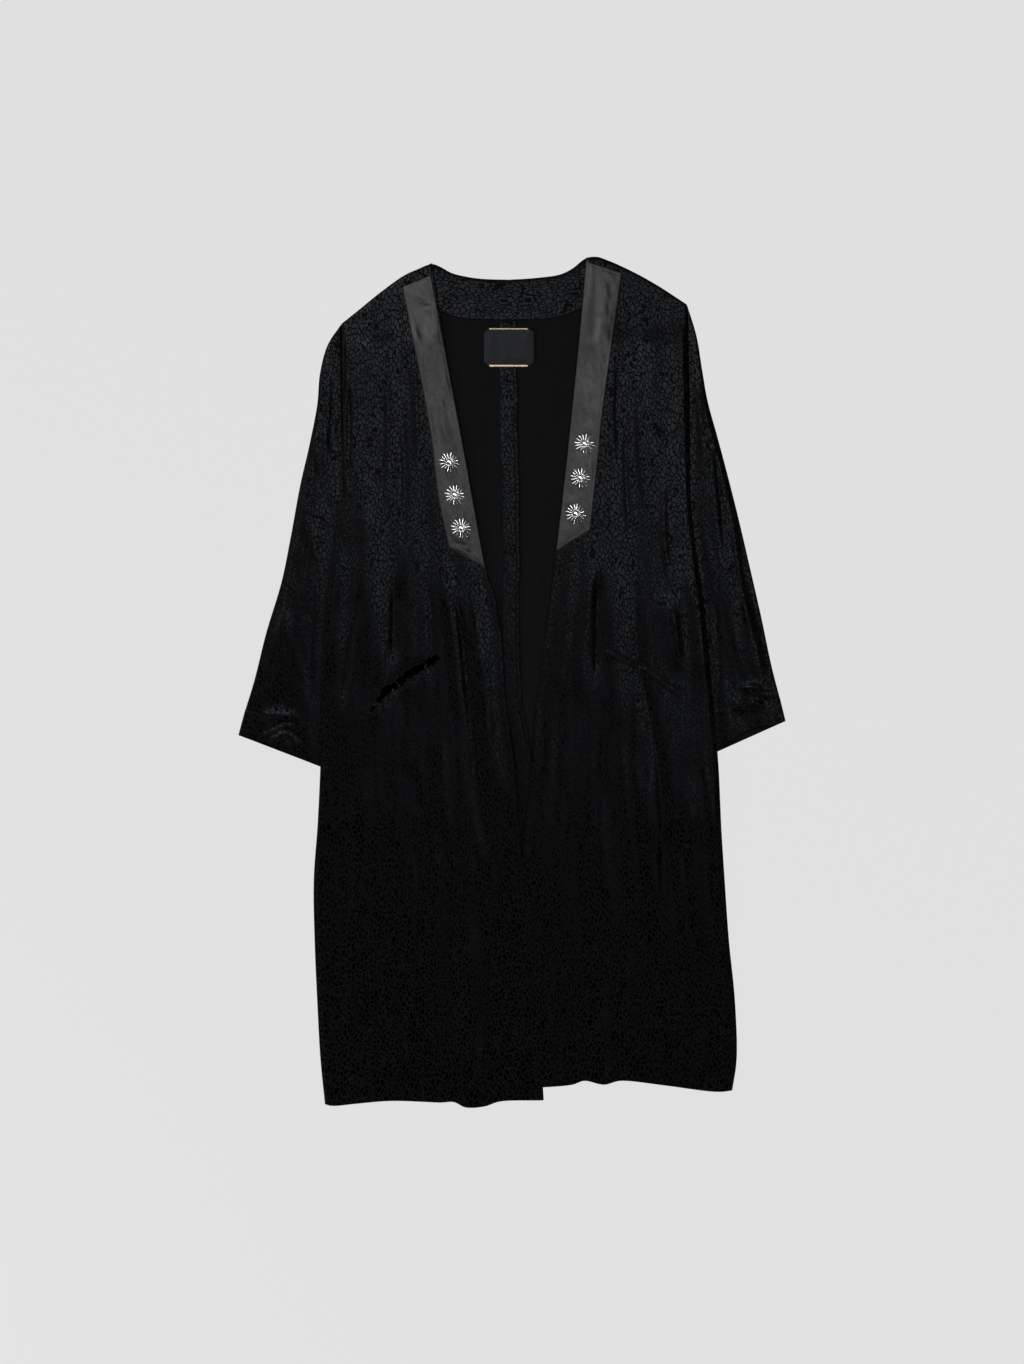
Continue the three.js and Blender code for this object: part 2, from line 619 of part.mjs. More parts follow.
// Closed tube wall between an outer and an inner skin of rings
function tubeWall(name, outerRings, innerRings, look) {
  const count = outerRings[0].length;
  const rings = outerRings.length;
  const positions = [...outerRings, ...innerRings].flat(2);
  const at = (skin, ring, i) => (skin * rings + ring) * count + (i % count);
  const triangles = [];
  const quad = (a, b, c, d) => triangles.push(a, b, c, a, c, d);
  for (let i = 0; i < count; i += 1) {
    for (let ring = 0; ring + 1 < rings; ring += 1) {
      quad(at(0, ring, i), at(0, ring + 1, i), at(0, ring + 1, i + 1), at(0, ring, i + 1));
      quad(at(1, ring, i), at(1, ring, i + 1), at(1, ring + 1, i + 1), at(1, ring + 1, i));
    }
    quad(at(0, 0, i), at(0, 0, i + 1), at(1, 0, i + 1), at(1, 0, i));
    quad(at(0, rings - 1, i), at(1, rings - 1, i), at(1, rings - 1, i + 1), at(0, rings - 1, i + 1));
  }
  return { name, positions, triangles, look };
}

// Rings run the other way round on the left, so the faces are turned there.
function tubeMesh({ name, positions, triangles, look }, turned) {
  const faces = turned ? reversed(triangles) : triangles;
  return meshFrom(name, positions, faces, look);
}

function makeSleeve(panel, sections) {
  const section = sleeveSection(sections);
  const stations = Array.from({ length: SLEEVE_RINGS }, (_, i) => i / (SLEEVE_RINGS - 1));
  const outerRings = stations.map((along) => flatRing(panel, section(along), 0, 0));
  const innerRings = stations.map((along) => flatRing(panel, section(along), 0, CLOTH));
  const wall = tubeWall("sleeve_" + panel, outerRings, innerRings, JACQUARD);
  return tubeMesh(wall, panel === "left");
}

function makeCuff(panel, seamRow, edgeRow, mouth) {
  const seam = {
    outer: new THREE.Vector3(seamRow.outerX, seamRow.outerY - SEAM_GAP, 0),
    inner: new THREE.Vector3(seamRow.innerX, seamRow.innerY - SEAM_GAP, 0),
  };
  const rim = {
    outer: new THREE.Vector3(edgeRow.outerX, edgeRow.outerY, 0),
    inner: new THREE.Vector3(edgeRow.innerX, edgeRow.innerY, 0),
  };
  const rings = (inset) =>
    Array.from({ length: CUFF_RINGS + 1 }, (_, i) => {
      const along = i / CUFF_RINGS;
      const section = {
        outer: seam.outer.clone().lerp(rim.outer, along),
        inner: seam.inner.clone().lerp(rim.inner, along),
      };
      return flatRing(panel, section, mouth * along * along, inset);
    });
  const wall = tubeWall("cuff_" + panel, rings(0), rings(CLOTH), JACQUARD);
  return tubeMesh(wall, panel === "left");
}

// What lies on a panel follows that panel's upper face, one gap above it.
const onBack = (x, y) => backTop(x, y) + SEAM_GAP;
function onPanel(mesh, reach) {
  const top = topOf(mesh, reach);
  return (x, y) => top(x, y) + SEAM_GAP;
}

const between = (start, end) => (along) =>
  new THREE.Vector3(mix(start.x, end.x, along), mix(start.y, end.y, along), 0);

function makeLapel(name, front, [startRows, endRows]) {
  const start = reversed(startRows);
  const end = reversed(endRows);
  const plan = fourSided({
    low: between(first(start), first(end)),
    high: between(last(start), last(end)),
    start: edge(start),
    end: edge(end),
  });
  return panelWall(name, LAPEL_GRID, plan, onPanel(front, LAPEL_REACH), LEATHER, BLACK_LEATHER);
}

function makeFacing() {
  const plan = fourSided({
    low: edge(FACING_LOWER),
    high: edge(FACING_UPPER),
    start: between(first(FACING_LOWER), first(FACING_UPPER)),
    end: between(last(FACING_LOWER), last(FACING_UPPER)),
  });
  return panelWall("neck_facing", FACING_GRID, plan, onBack, TRIM, JACQUARD);
}

function makeTape() {
  const plan = (u, v) => {
    const y = mix(TAPE.bottom, TAPE.top, v);
    return { x: valueAt(CENTRE_BACK, "x", y) + (u - 0.5) * TAPE.width, y };
  };
  return panelWall("back_seam_tape", TAPE_GRID, plan, onBack, TRIM, JACQUARD);
}

// Strip along a bent line, drawn from its viewer's-left end to its right end
function makeWelt(name, front, { line, width }) {
  const middle = edge(line.map(([x, y]) => ({ x, y })));
  const slope = new THREE.Vector3(last(line)[0] - line[0][0], last(line)[1] - line[0][1], 0);
  const acrossLine = new THREE.Vector3(-slope.y, slope.x, 0).normalize();
  const plan = (u, v) => middle(u).addScaledVector(acrossLine, (v - 0.5) * width);
  return panelWall(name, WELT_GRID, plan, onPanel(front, WELT_REACH), TRIM, JACQUARD);
}

function makeLabel() {
  const { x, y, width, height, corner, cornerSteps } = LABEL;
  const outline = new THREE.Shape();
  const right = width / 2 - corner;
  const top = height / 2 - corner;
  outline.absarc(right, top, corner, 0, Math.PI / 2);
  outline.absarc(-right, top, corner, Math.PI / 2, Math.PI);
  outline.absarc(-right, -top, corner, Math.PI, 1.5 * Math.PI);
  outline.absarc(right, -top, corner, 1.5 * Math.PI, 2 * Math.PI);
  const geometry = new THREE.ExtrudeGeometry(outline, {
    depth: TRIM,
    bevelEnabled: false,
    curveSegments: cornerSteps,
  });
  const mesh = new THREE.Mesh(geometry, new THREE.MeshStandardMaterial(SATIN_LABEL));
  mesh.name = "label";
  mesh.position.set(x, y, onBack(x, y) + TRIM + SEAM_GAP);
  return mesh;
}

// Sunburst: pointed rays round a small knob, flat below
function makeStud(lapel, { name, x, y }) {
  const { rays, radius, valley, tip, plate, ridge, foot, knob, knobSide, knobHeight } = STUD;
  const points = 2 * rays;
  const positions = [];
  const ring = (radiusAt, heightAt) => {
    for (let i = 0; i < points; i += 1) {
      const angle = (i / points) * 2 * Math.PI;
      const isTip = i % 2 === 0;
      positions.push(radiusAt(isTip) * Math.cos(angle), radiusAt(isTip) * Math.sin(angle), heightAt(isTip));
    }
  };
  const reach = (isTip) => (isTip ? radius : valley);
  ring(reach, () => 0);
  ring(reach, () => tip);
  ring(() => foot, (isTip) => (isTip ? ridge : plate));
  ring(() => knob, () => knobSide);
  positions.push(0, 0, 0, 0, 0, knobHeight);
  const triangles = [];
  for (let i = 0; i < points; i += 1) {
    const next = (i + 1) % points;
    triangles.push(4 * points, next, i);
    for (let level = 0; level < 3; level += 1) {
      const low = level * points;
      const high = low + points;
      triangles.push(low + i, low + next, high + next, low + i, high + next, high + i);
    }
    triangles.push(3 * points + i, 3 * points + next, 4 * points + 1);
  }
  const mesh = meshFrom(name, positions, triangles, PALE_METAL);
  mesh.position.set(x, y, onPanel(lapel, radius)(x, y));
  return mesh;
}

const [frontLeft, frontRight] = makeFronts();
const lapelLeft = makeLapel("lapel_left", frontLeft, [LAPEL_LEFT.outer, LAPEL_LEFT.inner]);
const lapelRight = makeLapel("lapel_right", frontRight, [LAPEL_RIGHT.inner, LAPEL_RIGHT.outer]);

const kimono = new THREE.Group();
kimono.add(...makeBacks(), frontLeft, frontRight, lapelLeft, lapelRight);
kimono.add(makeSleeve("left", SLEEVE_LEFT), makeSleeve("right", SLEEVE_RIGHT));
kimono.add(makeCuff("left", last(SLEEVE_LEFT), CUFF_EDGE_LEFT, CUFF_MOUTH.left));
kimono.add(makeCuff("right", last(SLEEVE_RIGHT), CUFF_EDGE_RIGHT, CUFF_MOUTH.right));
kimono.add(makeFacing(), makeTape(), makeLabel());
kimono.add(makeWelt("pocket_welt_left", frontLeft, WELT_LEFT));
kimono.add(makeWelt("pocket_welt_right", frontRight, WELT_RIGHT));
kimono.add(...STUDS.map((stud) => makeStud(stud.x < 0 ? lapelLeft : lapelRight, stud)));

export default kimono;
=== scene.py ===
"""Looks of a long open-front jacket of kimono cut, laid flat on its back.

Black leopard jacquard with a satin figure on a matt ground, leather lapel bands with sunburst studs,
a bare neck label and slanted welt pockets. "Left" and "right" are the viewer's.
Tables and heights are in millimetres in the frame's axes; meshes are scaled to metres as they are made.
"""

import math

import bpy
import numpy as np
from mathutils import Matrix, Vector


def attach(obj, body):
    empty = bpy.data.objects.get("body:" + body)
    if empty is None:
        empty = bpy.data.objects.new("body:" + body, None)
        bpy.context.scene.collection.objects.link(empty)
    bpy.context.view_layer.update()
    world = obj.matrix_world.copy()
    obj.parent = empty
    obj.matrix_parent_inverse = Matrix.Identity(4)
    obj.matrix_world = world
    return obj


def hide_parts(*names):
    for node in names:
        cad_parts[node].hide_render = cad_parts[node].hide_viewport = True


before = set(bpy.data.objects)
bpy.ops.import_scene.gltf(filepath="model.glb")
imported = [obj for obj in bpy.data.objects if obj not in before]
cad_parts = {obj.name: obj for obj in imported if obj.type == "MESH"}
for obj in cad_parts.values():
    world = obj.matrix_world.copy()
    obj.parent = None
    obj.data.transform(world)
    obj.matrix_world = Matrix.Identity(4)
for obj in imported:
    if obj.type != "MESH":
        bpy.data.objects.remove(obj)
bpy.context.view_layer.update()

MM = 0.001
SEED = 20
SIDES = ("left", "right")

# Thicknesses: the solids' walls, and the thin shells shown on their form
CLOTH = 1.2
LEATHER = 1.4
TRIM = 1.0
SEAM_GAP = 0.3
LAY_GAP = 0.4
SHELL = 0.7
BACK_SHELL = 0.8
TRIM_SHELL = 0.6
THREAD = 0.32
THINNEST = 0.3
SLEEVE_STACK = 2 * CLOTH + SEAM_GAP
LIFT = SLEEVE_STACK + LAY_GAP

# Rise of the cloth over the layer below: resting height, and shares of the folds and creases tabled below.
# CALM_SHARE lowers the folds around the pockets, LOWER_STREAKS raises the streaks towards the hem.
SLEEVE_PUFF = 1.6
SLEEVE_FOLD_SHARE = 0.7
REST_HEIGHT = 2.2
DEEPEST = 0.3
FOLD_SHARE = 0.9
CALM_SHARE = 0.3
CREASE_SHARE = 1.3
STREAK_HEIGHT = 1.15
LOWER_STREAKS = 0.9
POCKET_DIP = 1.3
STREAK_SEED = {"left": 0, "right": 10, "sleeve_left": 20, "sleeve_right": 30, "back": 40}

# Fading of the body's lift over the tucked sleeves: from their inner fold towards the middle, below the
# cuffs, and above the underarm. The fronts fade over a stretch that FRONT_BRIDGE makes longer.
LIFT_RAMP = {"across": (8, 46), "below": (-188, -146), "above": (250, 312)}
FRONT_BRIDGE = 14

# Edges of the body panels at each height: side seams and free front edges
BODY = {
    "y": [-445, -374, -304, -233, -162, -98, -21, 49, 96, 134, 191, 218, 250, 318, 372],
    "left_side": [
        -225, -229, -232, -233, -228, -225, -223, -220, -217, -212, -205, -198.5, -199, -199.7, -200.3,
    ],
    "left_edge": [34, 27.5, 20.5, 14, 7.5, 3, -7.5, -12, -19.5, -31, -41, -46, -52, -64.5, -74.5],
    "right_edge": [-8, -4, 1, 10, 17, 23.5, 29, 38, 44.5, 49.5, 56, 59.5, 63, 69.5, 75.5],
    "right_side": [264, 262, 255, 250, 245.5, 242.5, 236, 230, 225, 219.5, 212, 210, 209.4, 208, 206.9],
}

# Shoulder folds from the armhole to the neck point, hems from left to right, and the back neckline
SHOULDER_LEFT = [(-200.8, 421), (-182, 436), (-155, 458), (-127, 478), (-112, 485), (-94, 492)]
SHOULDER_RIGHT = [(205.5, 444), (170, 467), (142, 482.5), (113.5, 495.5), (99.5, 500), (87.5, 498.5)]
HEM_FRONT_LEFT = [
    (-220, -496), (-211, -498), (-183, -495.5), (-141, -492), (-84, -494),
    (-68, -493.5), (-55, -499.7), (-33, -499), (-14, -493), (37, -491.5),
]
HEM_FRONT_RIGHT = [
    (-10, -477.5), (42, -475.5), (71, -473), (85, -468.5), (108, -473),
    (128, -468.5), (184, -474.5), (241, -481.5), (259, -480),
]
HEM_BACK_LEFT = [(-220, -492), (-120, -486), (16, -468)]
HEM_BACK_RIGHT = [(16.5, -468), (140, -464), (259, -476)]
NECK_LEFT = [(-94, 491.5), (-84, 488), (-70, 480.5), (-42, 474.5), (-5, 473)]
NECK_RIGHT = [(-4.5, 473), (29, 475), (57, 479), (71, 486), (87.5, 498)]

# Centre-back seam with its tape, and the facing inside the back neck
CENTRE_BACK = {
    "y": [-468, -200, -100, -61, -25, 12, 167, 368, 473],
    "x": [16.2, 16, 14, 9, 1.5, -1.2, -1.5, -4.7, -4.8],
}
TAPE = {"width": 20.5, "top": 424, "bottom": -462, "ridge": 4.6}
FACING_LOWER = [
    (-101, 440), (-84, 435.5), (-63, 428), (-29, 426), (24, 426), (51, 428.5), (77, 437), (94, 444),
]
FACING_UPPER = [
    (-101, 487), (-84, 486.5), (-70, 479), (-42, 473), (0, 471.5),
    (29, 473.5), (57, 477.5), (71, 484), (94, 497),
]

# Sleeve sections: outer fold, and inner fold tucked under the body. The rim is the cuff's free edge,
# mouth is how far its upper layer is drawn up there, and tuck moves the sleeve's top under the body.
SLEEVE = {
    "left": {
        "outer": [(-201.3, 420.3), (-217, 396), (-226, 362), (-229, 327), (-238, 280), (-249, 232),
                  (-260, 172), (-271, 118), (-289, 58), (-303, 2), (-314, -34)],
        "inner": [(-199, 218), (-196.5, 190), (-193.5, 161), (-190, 132), (-187, 101), (-184.5, 71),
                  (-183, 40), (-182, 11), (-181.5, -18), (-181, -40), (-181, -58)],
        "rim": {"outer": (-321.8, -62.5), "inner": (-185.3, -115)},
        "mouth": 1,
        "tuck": 1.6,
    },
    "right": {
        "outer": [(206, 443.2), (217, 407), (224, 365), (230, 331), (242, 287), (254.5, 240),
                  (267.5, 188), (280.5, 132), (293.5, 75), (305, 20), (315, -19)],
        "inner": [(210.6, 218), (206, 190), (203, 161), (199.5, 132), (197, 101), (194.5, 71),
                  (193, 40), (191.5, 11), (191, -10), (191, -27), (191, -42)],
        "rim": {"outer": (321.8, -46), "inner": (193.5, -103.5)},
        "mouth": 9,
        "tuck": -1.6,
    },
}

# Leather lapels, slanted at their lower end: two long edges, and the lean and seed of their fine relief
LAPEL = {
    "left": {
        "start": [(-74, 158.5), (-86, 214), (-96, 294), (-129, 464)],
        "end": [(-31.5, 134.5), (-52.3, 250), (-75, 372), (-95.2, 478.5)],
        "lean": 0.18,
        "seed": 51,
    },
    "right": {
        "start": [(52.2, 154), (63.2, 250), (76, 372), (87.4, 495)],
        "end": [(92, 179), (101.5, 266), (105.5, 308), (129.5, 481)],
        "lean": -0.11,
        "seed": 61,
    },
}
LAPEL_WIDTH = 38.0
LAPEL_LENGTH = 330.0

# Pockets: line of the mouth from left to right
WELT_LEFT = {"line": [(-169, -38), (-142, -6), (-87, 30)], "width": 12}
WELT_RIGHT = {"line": [(107, 37), (151, 17), (197, -14)], "width": 10}

LABEL = {"x": -3.5, "y": 393.5, "width": 59, "height": 43, "corner": 4, "bar": 45}
STUDS = [
    ("stud_left_1", -73.5, 258), ("stud_left_2", -67, 219.5), ("stud_left_3", -59.5, 180.5),
    ("stud_right_1", 85.5, 279.5), ("stud_right_2", 80.5, 239.5), ("stud_right_3", 75, 197.5),
]
STUD = {"rays": 16, "root": 2.4, "radius": 12.3, "rod": 0.68, "flat": 0.7, "fall": 0.28}

# Folds by panel: width, rise, lean and path. A ridge rises, a trough sinks. Lean above 0 makes the side
# on the fold's right steeper as it runs, below 0 the left side.
FOLDS = {
    "left": [
        (9, 3.2, 0, [(-199, 160), (-206, 80), (-211, -5)]),
        (9, -2.6, 0, [(-178, 120), (-188, 60), (-200, -45)]),
        (17, 2.6, 0, [(-158, 250), (-160, 120), (-172, -20)]),
        (8, -2.4, 0, [(-135, 125), (-138, 15)]),
        (17, 2.6, 0, [(-116, 210), (-112, 90), (-118, -60)]),
        (9, 3.6, 0, [(-82, 150), (-68, 60), (-60, -60)]),
        (7, -2.4, 0, [(-80, 130), (-58, 50), (-42, -126), (-24, -235)]),
        (10, 2.4, 0, [(-34, 60), (-24, -60), (-20, -160)]),
        (9, -2, 0, [(-197, -72), (-198, -336)]),
        (13, 2.6, 0, [(-176, -80), (-174, -300)]),
        (15, 2.4, 0, [(-133, -100), (-140, -330)]),
        (12, 2.4, 0, [(-96, -200), (-92, -440)]),
        (8, -2.2, 0, [(-72, -230), (-66, -460)]),
        (11, 3, 0, [(-50, -260), (-44, -490)]),
        (16, 1.8, 0, [(-160, 430), (-168, 330), (-165, 260)]),
    ],
    "right": [
        (9, 3.6, 0, [(100, 170), (84, 50), (80, -40)]),
        (7, -2.4, 0, [(103, 140), (101, -10)]),
        (13, 2.8, 0, [(124, 160), (122, 20), (126, -80)]),
        (8, -2.6, 0, [(144, 120), (150, 10), (172, -109), (200, -336)]),
        (10, 3, 0, [(183, 110), (195, 5)]),
        (9, 3, 0, [(206, 150), (219, 60), (226, -20)]),
        (11, 2.6, 0, [(150, -80), (172, -300)]),
        (11, 2.6, 0, [(205, -100), (226, -340)]),
        (14, 2.4, 0, [(104, -120), (112, -400)]),
        (9, -2, 0, [(78, -150), (84, -460)]),
        (11, 3, 0, [(106, -380), (107, -470)]),
        (16, 1.8, 0, [(165, 430), (158, 330), (160, 240)]),
        (10, 2.2, 0, [(136, -300), (140, -460)]),
    ],
    "sleeve_left": [
        (10, 3, 0, [(-226, 340), (-236, 240), (-246, 120)]),
        (9, 2.6, 0, [(-222, 240), (-240, 120), (-262, -10)]),
        (9, 2.4, 0, [(-262, 90), (-276, 0), (-282, -30)]),
        (8, 3.4, 0, [(-300, -48), (-272, -40), (-250, -50)]),
    ],
    "sleeve_right": [
        (10, 3, 0, [(228, 345), (236, 250), (246, 150)]),
        (9, 2.6, 0, [(244, 200), (258, 90), (268, 0)]),
        (9, 2.4, 0, [(268, 120), (286, 30), (294, -10)]),
        (8, 3.4, 0, [(300, -24), (276, -22), (258, -34)]),
    ],
}

# Finer creases over the folds, which the solids leave out
CREASES = {
    "left": [
        (3.2, -1.6, 0.4, [(-178, 128), (-182, 90), (-188, 60), (-197, -6), (-200, -40)]),
        (3.0, -1.7, -0.4, [(-137, 124), (-138, 60), (-140, 22)]),
        (3.0, -2.0, 0.5, [(-83, 133), (-63, 81), (-59, 46), (-50, -40), (-42, -126), (-23, -232)]),
        (2.6, -3.2, 0, [(-192.5, 352), (-192, 290), (-193.5, 222)]),
        (3.0, -1.1, 0, [(-200, -70), (-197, -200), (-201, -336)]),
        (3.0, -1.3, 0.3, [(-113, -107), (-112, -160)]),
        (3.4, -1.4, -0.3, [(-70, -232), (-72, -330), (-63, -452)]),
        (3.0, -1.1, 0, [(-155, -320), (-156, -366)]),
        (4.0, 1.1, 0.3, [(-150, 380), (-146, 300), (-150, 200)]),
        (4.0, 1.0, -0.3, [(-118, 400), (-112, 330), (-110, 250)]),
        (3.6, -1.0, 0, [(-130, 330), (-126, 240), (-130, 150)]),
        (4.0, 1.2, 0.3, [(-170, 220), (-175, 130), (-186, 40)]),
        (4.0, 1.2, 0, [(-150, 60), (-154, 0), (-160, -70)]),
        (3.6, -1.0, 0, [(-100, 120), (-94, 60), (-98, 0)]),
        (4.0, 1.1, 0.3, [(-84, -40), (-80, -130), (-72, -220)]),
        (4.0, 1.1, -0.3, [(-160, -150), (-158, -260), (-164, -380)]),
        (4.0, 1.2, 0.3, [(-116, -180), (-118, -300), (-110, -420)]),
        (4.2, 1.3, 0, [(-186, -330), (-190, -420), (-190, -492)]),
        (4.2, 1.2, 0, [(-134, -400), (-132, -490)]),
        (4.2, -1.2, 0, [(-56, -440), (-56, -498)]),
        (4.0, 1.2, 0, [(-22, -380), (-24, -492)]),
        (3.6, -1.0, 0, [(-30, 40), (-26, -20), (-22, -90)]),
        (4.0, 1.0, 0, [(-46, 110), (-40, 50), (-36, 0)]),
    ],
    "right": [
        (3.0, -1.8, -0.4, [(103, 142), (101, 60), (100, -8)]),
        (3.2, -1.9, 0.4, [(144, 118), (148, 28), (158, -22), (170, -84), (173, -109), (200, -336)]),
        (3.0, -1.2, 0, [(176, -93), (176, -200), (178, -330)]),
        (4.0, 1.4, 0.4, [(184, 98), (192, 60), (196, 10)]),
        (4.0, 1.1, 0.3, [(150, 390), (148, 300), (156, 200)]),
        (4.0, 1.0, -0.3, [(122, 400), (118, 320), (122, 240)]),
        (3.6, -1.0, 0, [(136, 330), (134, 240), (140, 150)]),
        (4.0, 1.2, 0, [(180, 260), (178, 180), (186, 110)]),
        (4.0, 1.1, 0, [(70, 120), (62, 40), (54, -40)]),
        (3.6, -1.0, 0, [(66, 60), (58, -20), (50, -110)]),
        (4.0, 1.2, 0.3, [(126, -60), (134, -160), (142, -260)]),
        (4.0, 1.1, -0.3, [(60, -120), (58, -230), (60, -340)]),
        (4.0, 1.2, 0.3, [(220, -60), (236, -180), (244, -320)]),
        (4.0, 1.1, 0, [(196, -190), (206, -300), (216, -400)]),
        (3.4, -1.2, 0, [(85, -430), (85, -470)]),
        (3.4, -1.2, 0, [(128, -430), (128, -470)]),
        (4.2, 1.3, 0, [(170, -390), (172, -476)]),
        (4.2, 1.3, 0, [(222, -400), (228, -482)]),
        (4.2, 1.2, 0, [(44, -380), (46, -478)]),
        (4.0, 1.1, 0, [(24, -200), (22, -320), (20, -440)]),
    ],
    "sleeve_left": [
        (4.0, 1.3, 0, [(-214, 360), (-218, 300), (-222, 240)]),
        (3.6, -1.2, 0, [(-230, 290), (-238, 190), (-250, 90)]),
        (3.6, 1.2, 0, [(-250, 200), (-262, 110), (-280, 30)]),
        (3.6, -1.1, 0, [(-232, 110), (-236, 30), (-240, -40)]),
        (3.2, -2.0, 0, [(-296, -62), (-280, -50), (-262, -46), (-248, -52)]),
        (3.4, 1.6, 0, [(-290, -78), (-272, -64), (-252, -62)]),
        (3.2, -1.4, 0, [(-268, -72), (-258, -60), (-246, -72)]),
        (3.6, 1.2, 0, [(-224, 60), (-226, 0), (-230, -60)]),
    ],
    "sleeve_right": [
        (4.0, 1.3, 0, [(215, 380), (220, 310), (224, 250)]),
        (3.4, -1.4, 0, [(233, 286), (232, 272)]),
        (3.6, -1.2, 0, [(236, 300), (246, 200), (254, 100)]),
        (3.6, 1.2, 0, [(256, 210), (270, 110), (284, 40)]),
        (3.6, -1.1, 0, [(238, 110), (242, 30), (246, -30)]),
        (3.4, 1.9, 0.4, [(268, -10), (284, -7), (296, -12)]),
        (3.4, -1.6, 0, [(262, -20), (284, -19), (306, -26)]),
        (3.6, 1.2, 0, [(228, 60), (232, 0), (236, -50)]),
    ],
}


def smoothstep(low, high, value):
    """0 below low and 1 above high, smooth between."""
    share = np.clip((value - low) / (high - low), 0, 1)
    return share * share * (3 - 2 * share)


def edge(rows, steps=24):
    """Smooth curve through rows of x and y; the result takes 0 to 1 along its length."""
    points = np.array(rows, float)
    knots = np.vstack([2 * points[0] - points[1], points, 2 * points[-1] - points[-2]])
    spans = np.linalg.norm(np.diff(knots, axis=0), axis=1) ** 0.5
    t = np.linspace(0, 1, steps, endpoint=False)[:, None]
    line = []
    for i in range(len(points) - 1):
        before, start, end, after = knots[i : i + 4]
        d0, d1, d2 = spans[i : i + 3]
        leave = d1 * ((start - before) / d0 - (end - before) / (d0 + d1) + (end - start) / d1)
        arrive = d1 * ((end - start) / d1 - (after - start) / (d1 + d2) + (after - end) / d2)
        cubic = 2 * t**3 - 3 * t**2
        ends = start * (cubic + 1) + leave * (t**3 - 2 * t**2 + t)
        line.append(ends - end * cubic + arrive * (t**3 - t**2))
    line = np.vstack([*line, points[-1:]])
    reach = np.concatenate([[0], np.cumsum(np.linalg.norm(np.diff(line, axis=0), axis=1))])

    def at(along):
        where = np.asarray(along) * reach[-1]
        return np.stack([np.interp(where, reach, line[:, k]) for k in (0, 1)], axis=-1)

    return at


def body(column, y):
    """Place of a body edge at each height."""
    return np.interp(y, BODY["y"], BODY[column])


def value_noise(x, y, seed):
    """Smooth random height from -1 to 1 over a lattice of unit squares."""
    size = 64
    lattice = np.random.default_rng(SEED + seed).uniform(-1, 1, (size, size))
    column, row = np.floor(x).astype(int), np.floor(y).astype(int)
    across, up = smoothstep(0, 1, x - column), smoothstep(0, 1, y - row)

    def along_row(row):
        line = row % size
        return lattice[line, column % size] * (1 - across) + lattice[line, (column + 1) % size] * across

    return along_row(row) * (1 - up) + along_row(row + 1) * up


def streaks(x, y, seed):
    """Long soft ripples that hang down a panel, about 1 at their highest."""
    bent = x + 9 * value_noise(x / 70, y / 170, seed + 1)
    broad = value_noise(bent / 21, y / 190, seed + 2)
    middle = value_noise(bent / 10, y / 90, seed + 3)
    fine = value_noise(bent / 5.5, y / 40, seed + 4)
    return 0.55 * broad + 0.32 * middle + 0.13 * fine


def fold_height(folds, x, y):
    """Sum of the folds at each place, each one tapering to nothing at its two ends."""
    height = np.zeros(np.shape(x))
    for width, rise, lean, path in folds:
        line = edge(path)(np.linspace(0, 1, 14))
        reach = 3 * width * (1 + abs(lean))
        near = (x > line[:, 0].min() - reach) & (x < line[:, 0].max() + reach)
        near &= (y > line[:, 1].min() - reach) & (y < line[:, 1].max() + reach)
        place = np.stack([x[near], y[near]], axis=-1)
        closest = np.full(len(place), np.inf)
        along = np.zeros(len(place))
        side = np.ones(len(place))
        for i, (start, end) in enumerate(zip(line[:-1], line[1:], strict=True)):
            run = end - start
            step = np.clip((place - start) @ run / (run @ run), 0, 1)
            off = place - start - step[:, None] * run
            distance = np.linalg.norm(off, axis=1)
            better = distance < closest
            closest[better] = distance[better]
            along[better] = (i + step[better]) / (len(line) - 1)
            side[better] = np.sign(run[0] * off[:, 1] - run[1] * off[:, 0])[better]
        taper = smoothstep(0, 0.3, along) * smoothstep(0, 0.3, 1 - along)
        half_width = width * (1 + lean * side)
        height[near] += rise * taper * np.exp(-((closest / half_width) ** 2))
    return height


# Heights of the layers, from the surface up


def inner_fold(side, y):
    """Place of a sleeve's tucked fold at each height."""
    points = np.array([SLEEVE[side]["rim"]["inner"], *reversed(SLEEVE[side]["inner"])], float)
    return np.interp(y, points[:, 1], points[:, 0])


def sleeve_lift(x, y, bridge):
    """Lift of the body where the tucked sleeves lie under its sides."""
    past = np.where(x < 0, x - inner_fold("left", y), inner_fold("right", y) - x)
    near, far = LIFT_RAMP["across"]
    across = 1 - smoothstep(near + bridge / 2, far + bridge, past)
    low, high = LIFT_RAMP["below"]
    below = smoothstep(low - bridge, high - bridge, y)
    low, high = LIFT_RAMP["above"]
    above = 1 - smoothstep(low + bridge / 2, high + bridge, y)
    return LIFT * across * below * above


def back_top(x, y):
    """Upper face of the back, which is its inside."""
    open_back = smoothstep(0, 20, x - body("left_edge", y)) * smoothstep(0, 20, body("right_edge", y) - x)
    ripple = 0.35 * (1 + streaks(x, y, STREAK_SEED["back"])) * open_back * (1 - tape_mask(x, y))
    return sleeve_lift(x, y, 0) + BACK_SHELL + ripple


def tape_mask(x, y):
    """1 on the tape of the centre-back seam, falling to 0 beside it."""
    off = np.abs(x - np.interp(y, CENTRE_BACK["y"], CENTRE_BACK["x"]))
    return 1 - smoothstep(TAPE["width"] / 2 + 2, TAPE["width"] / 2 + 24, off)


def facing_mask(x, y):
    """1 on the neck facing, falling to 0 around it."""
    return smoothstep(370, 424, y) * (1 - smoothstep(108, 140, np.abs(x + 3)))


